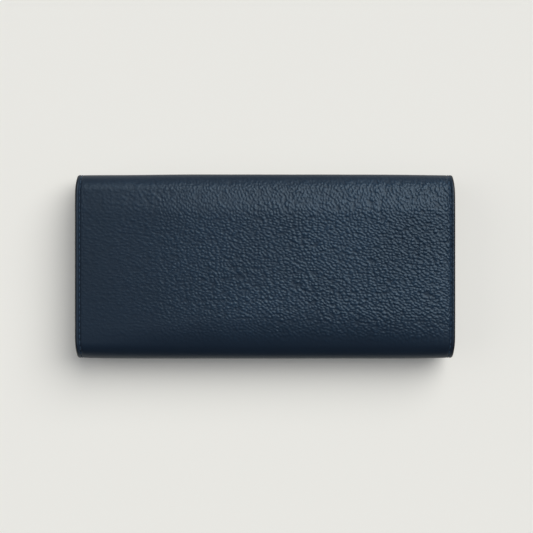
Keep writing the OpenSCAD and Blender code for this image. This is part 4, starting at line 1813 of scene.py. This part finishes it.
@dataclass
class Zip:
    """Moulded-tooth zip in the coin pocket's mouth, with its tapes, tabs, stops and slider."""

    finishes: Finishes
    pitch: float = 2.0
    head: float = 0.8
    neck: float = 0.56
    foot: float = 1.5
    tape_t: float = 0.5
    seam: Seam = field(default_factory=lambda: Seam(pitch=1.9, radius=0.17, sink=0.2, slant=0.04))

    def __post_init__(self) -> None:
        """Reads the chain's place from the frame."""
        self.chain_y, self.middle = centred("zip_stops", 1)[0], centred("zip_stops", 2)[0]
        self.half = span("zip_teeth_rear", 0)[1]

    def dress(self) -> None:
        """Builds the zip."""
        for bank in Bank:
            self._tape(bank)
            self._teeth(bank)
        for side in Side:
            self._tab(side)
        self._stops()
        self._slider()
        self._pull()
        self._leather_tab()

    def _tape(self, bank: Bank) -> None:
        """Builds one tape: up the wall, over the edge and into the teeth.

        Args:
            bank: the wall that it lines.
        """
        node, turn = f"zip_tape_{bank.word}", bank.value
        half, (low, high) = span(node, 0)[1], span(node, 1)
        wall = max(turn * (v - self.middle) for v in span(node, 2)) - 0.02
        edge = min(turn * (v - self.middle) for v in span("zip_stops", 2) if turn * (v - self.middle) > 0)
        knots = [(low, wall), (high - 2.2, wall), (high - 0.25, wall - 0.25), (high - 0.1, edge - 0.5)]
        path = soften(np.array([(y, self.middle + turn * z) for y, z in knots]))
        section = Section(path, turn)
        sheet = Sheet(section, between(-half, half), self.tape_t - 0.05, rim=0.15, step=1.4, fine=0.4,
                      fine_width=1.2)
        piece = sheet.build(f"{node}_weave", (self.finishes.tape,))
        settle(piece, Body.COIN_POCKET, Slot.TAPE, node)

    def _teeth(self, bank: Bank) -> None:
        """Builds one row of teeth, each clamped on the cord at its tape's edge.

        Args:
            bank: the tape that it closes.
        """
        node, turn = f"zip_teeth_{bank.word}", bank.value
        low, high = span(node, 1)
        near = max(turn * (v - self.middle) for v in span(node, 2))
        far = min(turn * (v - self.middle) for v in span(node, 2))
        shape = [(near, -self.foot / 2), (near, self.foot / 2), (near - 1.2, self.foot / 2 - 0.1),
                 (near - 1.6, self.neck / 2), (far + 0.55, self.neck / 2), (far + 0.4, self.head / 2),
                 (far + 0.1, self.head / 2), (far, self.head / 2 - 0.12)]
        shape += [(z, -x) for z, x in shape[:1:-1]]
        solid = Solid()
        shift = (0 if turn > 0 else self.pitch / 2) - self.pitch / 4
        last = int((self.half - 1) / self.pitch)
        for k in range(-last, last + 1):
            at = k * self.pitch + shift
            outline = [(self.middle + turn * z, at + x) for z, x in shape]
            solid.slab(outline, low, high, 0.18, up=1)
        cord = [(0, -self.half), (0.42, -self.half + 0.2), (0.42, self.half - 0.2), (0, self.half)]
        solid.lathe(cord, (0, self.chain_y, self.middle + turn * (near - 0.45)), up=0, segments=10)
        settle(solid.piece(f"{node}_row", self.finishes.casting), Body.COIN_POCKET, Slot.TEETH, node)

    def _tab(self, side: Side) -> None:
        """Builds the leather tab over one end of the tapes."""
        node = f"zip_tab_{side.word}"
        (centre, half_x), (low_y, high_y), half_z = centred(node, 0), span(node, 1), centred(node, 2)[1]
        solid = Solid()
        solid.slab(self._plate(half_z, half_x, 1.0, centre), low_y, high_y, 0.25, up=1)
        settle(solid.piece(f"{node}_leather", self.finishes.card), Body.COIN_POCKET, Slot.POCKET, node)
        line = self._sewn_round(half_z - 1.0, half_x - 1.0, 0.5, centre, high_y, 1.0)
        settle(self.seam.sew(f"{node}_stitches", [line], self.finishes.thread), Body.COIN_POCKET,
               Slot.THREAD)

    def _stops(self) -> None:
        """Builds the metal stops at the two ends of the chain."""
        (low, high), half_z = span("zip_stops", 1), centred("zip_stops", 2)[1]
        reach = span("zip_stops", 0)[1]
        solid = Solid()
        for side in Side:
            solid.slab(self._plate(half_z, 0.9, 0.5, side.value * (reach - 0.9)), low, high, 0.3, up=1)
        settle(solid.piece("zip_stops_metal", self.finishes.casting), Body.COIN_POCKET, Slot.ZIP_METAL,
               "zip_stops")

    def _slider(self) -> None:
        """Builds the slider: two plates, flanges, the wedge between the rows and the pull's lugs."""
        (low_x, high_x), (low_y, high_y) = span("zip_slider", 0), span("zip_slider", 1)
        (centre_x, half_x), half_z = centred("zip_slider", 0), centred("zip_slider", 2)[1]
        pin_x, pin_y = self._pin()
        plate, lower, channel, lug_x = 0.9, 2.5, 2.25, 1.5
        top = self.chain_y + 1.15
        solid = Solid()
        solid.slab(self._shield(low_x, 2 * half_x, half_z), top, top + plate, 0.3, up=1)
        solid.slab(self._shield(low_x, 2 * half_x, lower), low_y, low_y + plate, 0.3, up=1)
        for side in Side:
            flange = self._plate((half_z - channel) / 2, half_x - 0.9, 0.3, centre_x,
                                 side.value * (half_z + channel) / 2)
            solid.slab(flange, self.chain_y + 0.4, top + 0.3, 0.15, up=1)
            foot, level = high_y - 2.2, pin_y - 0.1
            lug = [(pin_x + lug_x, foot), (pin_x + lug_x, level)]
            lug += [(pin_x + lug_x * math.cos(t), level + 1.05 * math.sin(t))
                    for t in np.linspace(0.2, math.pi - 0.2, 9)]
            lug += [(pin_x - lug_x, level), (pin_x - lug_x, foot)]
            centre = self.middle + side.value * 1.6
            solid.slab(lug, centre - 0.4, centre + 0.4, 0.12, up=2)
        solid.slab(self._plate(0.5, 0.58, 0.25, high_x - 0.62), low_y + 0.2, top + 0.2, 0.1, up=1)
        settle(solid.piece("zip_slider_casting", self.finishes.casting), Body.SLIDER, Slot.ZIP_METAL,
               "zip_slider")

    def _shield(self, start: float, long: float, half: float) -> Outline:
        """Outline of a slider plate: waisted towards the closed chain, round-cornered.

        Args:
            start: place of its narrow end along the chain.
            long: its length.
            half: half its greatest width.

        Returns:
            The outline.
        """
        half_widths = ((0.0, 0.72), (0.05, 0.82), (0.22, 0.93), (0.5, 1.0), (0.8, 1.0), (0.93, 0.93),
                       (0.985, 0.78), (1.0, 0.66))
        one = [(self.middle + half * w, start + long * a) for a, w in half_widths]
        other = [(self.middle - half * w, start + long * a) for a, w in half_widths[::-1]]
        return one + other

    def _plate(self, half_z: float, half_x: float, radius: float, at: float,
               aside: float = 0.0) -> Outline:
        """Outline in Z and X of a round-cornered plate, at a place along the chain or aside of it."""
        return [(self.middle + aside + a, at + b) for a, b in rounded_box(half_z, half_x, radius)]

    def _sewn_round(self, half_z: float, half_x: float, radius: float, at: float, level: float,
                    up: float) -> Line:
        """A closed line of stitches on a flat plate.

        Args:
            half_z: half the line's size across the chain.
            half_x: half its size along the chain.
            radius: radius of its corners.
            at: its middle along the chain.
            level: the plate's height.
            up: 1 on top of the plate, -1 below it.

        Returns:
            The line's points, and the plate's normals there.
        """
        line = np.array(rounded_box(half_z, half_x, radius) + [(half_z, 0)])
        points = np.stack([at + line[:, 1], np.full(len(line), level), self.middle + line[:, 0]], 1)
        return points, np.tile([0.0, up, 0.0], (len(line), 1))

    def _pin(self) -> tuple[float, float]:
        """Centre of the pull's pin, in X and Y."""
        return span("zip_pull", 0)[1] - 1.0, centred("zip_pull", 1)[0]

    def _pull(self) -> None:
        """Builds the pin, the eye round it and the flat shank."""
        pin_x, pin_y = self._pin()
        far, reach = span("zip_pull", 0)[0], centred("zip_pull", 2)[1]
        solid = Solid()
        centre = (pin_x, pin_y, self.middle)
        solid.lathe([(0, -reach), (0.42, -reach), (0.55, -reach + 0.13), (0.55, reach - 0.13),
                     (0.42, reach), (0, reach)], centre, segments=20)
        solid.lathe([(0, -1.0), (0.85, -1.0), (1.0, -0.85), (1.0, 0.85), (0.85, 1.0), (0, 1.0)],
                    centre, segments=24)
        shank = self._plate(1.0, (pin_x - far) / 2, 0.5, (far + pin_x) / 2)
        solid.slab(shank, pin_y - 0.4, pin_y + 0.4, 0.15, up=1)
        settle(solid.piece("zip_pull_casting", self.finishes.casting), Body.PULL, Slot.ZIP_METAL,
               "zip_pull")

    def _leather_tab(self) -> None:
        """Builds the tab on the pull: two layers of leather, sewn round."""
        (centre, half_x), half_z = centred("pull_tab", 0), centred("pull_tab", 2)[1]
        (low_y, high_y), middle_y = span("pull_tab", 1), centred("pull_tab", 1)[0]
        outline = self._plate(half_z, half_x, 1.6, centre)
        solid = Solid()
        solid.slab(outline, low_y, middle_y, 0.3, up=1)
        solid.slab(outline, middle_y, high_y, 0.3, up=1)
        settle(solid.piece("pull_tab_leather", self.finishes.card), Body.PULL, Slot.HIDE, "pull_tab")
        lines = [self._sewn_round(half_z - 0.9, half_x - 0.9, 0.9, centre, level, up)
                 for level, up in ((high_y, 1.0), (low_y, -1.0))]
        settle(self.seam.sew("pull_tab_stitches", lines, self.finishes.thread), Body.PULL, Slot.THREAD)


# ---- Studio ----


@dataclass
class Studio:
    """Floor, camera and light of a plain table-top studio.

    Attributes:
        field: width that the camera sees at the wallet's top.
        camera_height: how far the camera stands above that.
        aim: place that it looks straight down on.
        sensor: width of its sensor.
        key_elevation: height of the key light; _lamp explains it and the next ones.
        sky_low: strength of the sky where it is dim.
        sky_high: strength of the sky towards its bright side.
        sky_toward: direction of the bright side.
        floor_reach: how far the floor goes on each side.
    """

    layout: Layout
    field: float = 266.0
    camera_height: float = 600.0
    aim: tuple[float, float] = (0.7, -0.05)
    sensor: float = 36.0
    key_elevation: float = 50.5
    key_turn: float = 41.0
    key_spread: float = 56.0
    key_power: float = 2.82
    fill_elevation: float = 26.0
    fill_turn: float = -82.0
    fill_spread: float = 60.0
    fill_power: float = 0.5
    sky_low: float = 0.03
    sky_high: float = 0.28
    sky_colour: str = "#e2ebff"
    sky_toward: Point = (0.3, 0.45, 0.84)
    floor_reach: float = 2500.0

    def build(self) -> None:
        """Makes the floor, the camera, a soft key light with a fill card opposite, and the sky."""
        self._floor()
        self._camera()
        self._lamp("key", self.key_power, self.key_spread, self.key_elevation, self.key_turn)
        self._lamp("fill", self.fill_power, self.fill_spread, self.fill_elevation, self.fill_turn)
        self._sky()

    def _floor(self) -> None:
        """A broad matt sheet under the wallet."""
        corners = self.floor_reach * np.array([(-1, -1, 0), (1, -1, 0), (1, 1, 0), (-1, 1, 0)])
        floor = new_piece("floor", corners, [[0, 1, 2, 3]], [OpalSheet().make()])

    def _camera(self) -> None:
        """A camera that looks straight down."""
        lens = bpy.data.cameras.new("camera")
        lens.sensor_width = self.sensor
        lens.lens = self.sensor * self.camera_height / self.field
        lens.clip_end = 10.0
        camera = bpy.data.objects.new("camera", lens)
        height = self.camera_height + self.layout.top
        camera.location = (self.aim[0] * MM, self.aim[1] * MM, height * MM)
        bpy.context.scene.collection.objects.link(camera)
        bpy.context.scene.camera = camera

    def _lamp(self, name: str, power: float, spread: float, elevation: float, turn: float) -> None:
        """Adds one wide, even light.

        Args:
            name: name of the light.
            power: irradiance that it gives a surface that faces it.
            spread: angle that it fills, in degrees.
            elevation: how high it stands, in degrees.
            turn: how far it stands round from straight beyond the spine, to the right, in degrees.
        """
        light = bpy.data.lights.new(name, "SUN")
        light.energy = power
        light.angle = math.radians(spread)
        lamp = bpy.data.objects.new(name, light)
        lamp.rotation_euler = (math.radians(elevation - 90), 0, math.radians(-turn))
        bpy.context.scene.collection.objects.link(lamp)

    def _sky(self) -> None:
        """A dim room, brighter overhead and beyond the spine than on the near side."""
        world = bpy.data.worlds.new("room")
        bpy.context.scene.world = world
        world.use_nodes = True
        tree = world.node_tree
        tree.nodes.clear()
        toward = add_node(tree, "ShaderNodeTexCoord").outputs["Generated"]
        lift = add_node(tree, "ShaderNodeVectorMath", {"operation": "DOT_PRODUCT", 1: self.sky_toward},
                        {0: toward}).outputs["Value"]
        level = add_node(tree, "ShaderNodeMapRange", {"To Min": self.sky_low, "To Max": self.sky_high},
                         {0: lift}).outputs[0]
        sky = add_node(tree, "ShaderNodeBackground", {"Color": linear(self.sky_colour)},
                       {"Strength": level})
        add_node(tree, "ShaderNodeOutputWorld", {}, {"Surface": sky.outputs[0]})
        bpy.context.scene.view_settings.view_transform = "Standard"


def main() -> None:
    """Builds the wallet and the studio round it."""
    logging.basicConfig(level=logging.INFO, format="%(name)s %(message)s")
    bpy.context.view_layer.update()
    layout = Layout()
    finishes = Finishes()
    Studio(layout).build()
    OuterHide(layout, finishes).dress()
    Linings(layout, finishes).dress()
    CardPockets(layout, finishes).dress()
    Snap(finishes).dress()
    Gussets(layout, finishes).dress()
    CoinPocket(layout, finishes).dress()
    Zip(finishes).dress()


if __name__ == "__main__":
    main()
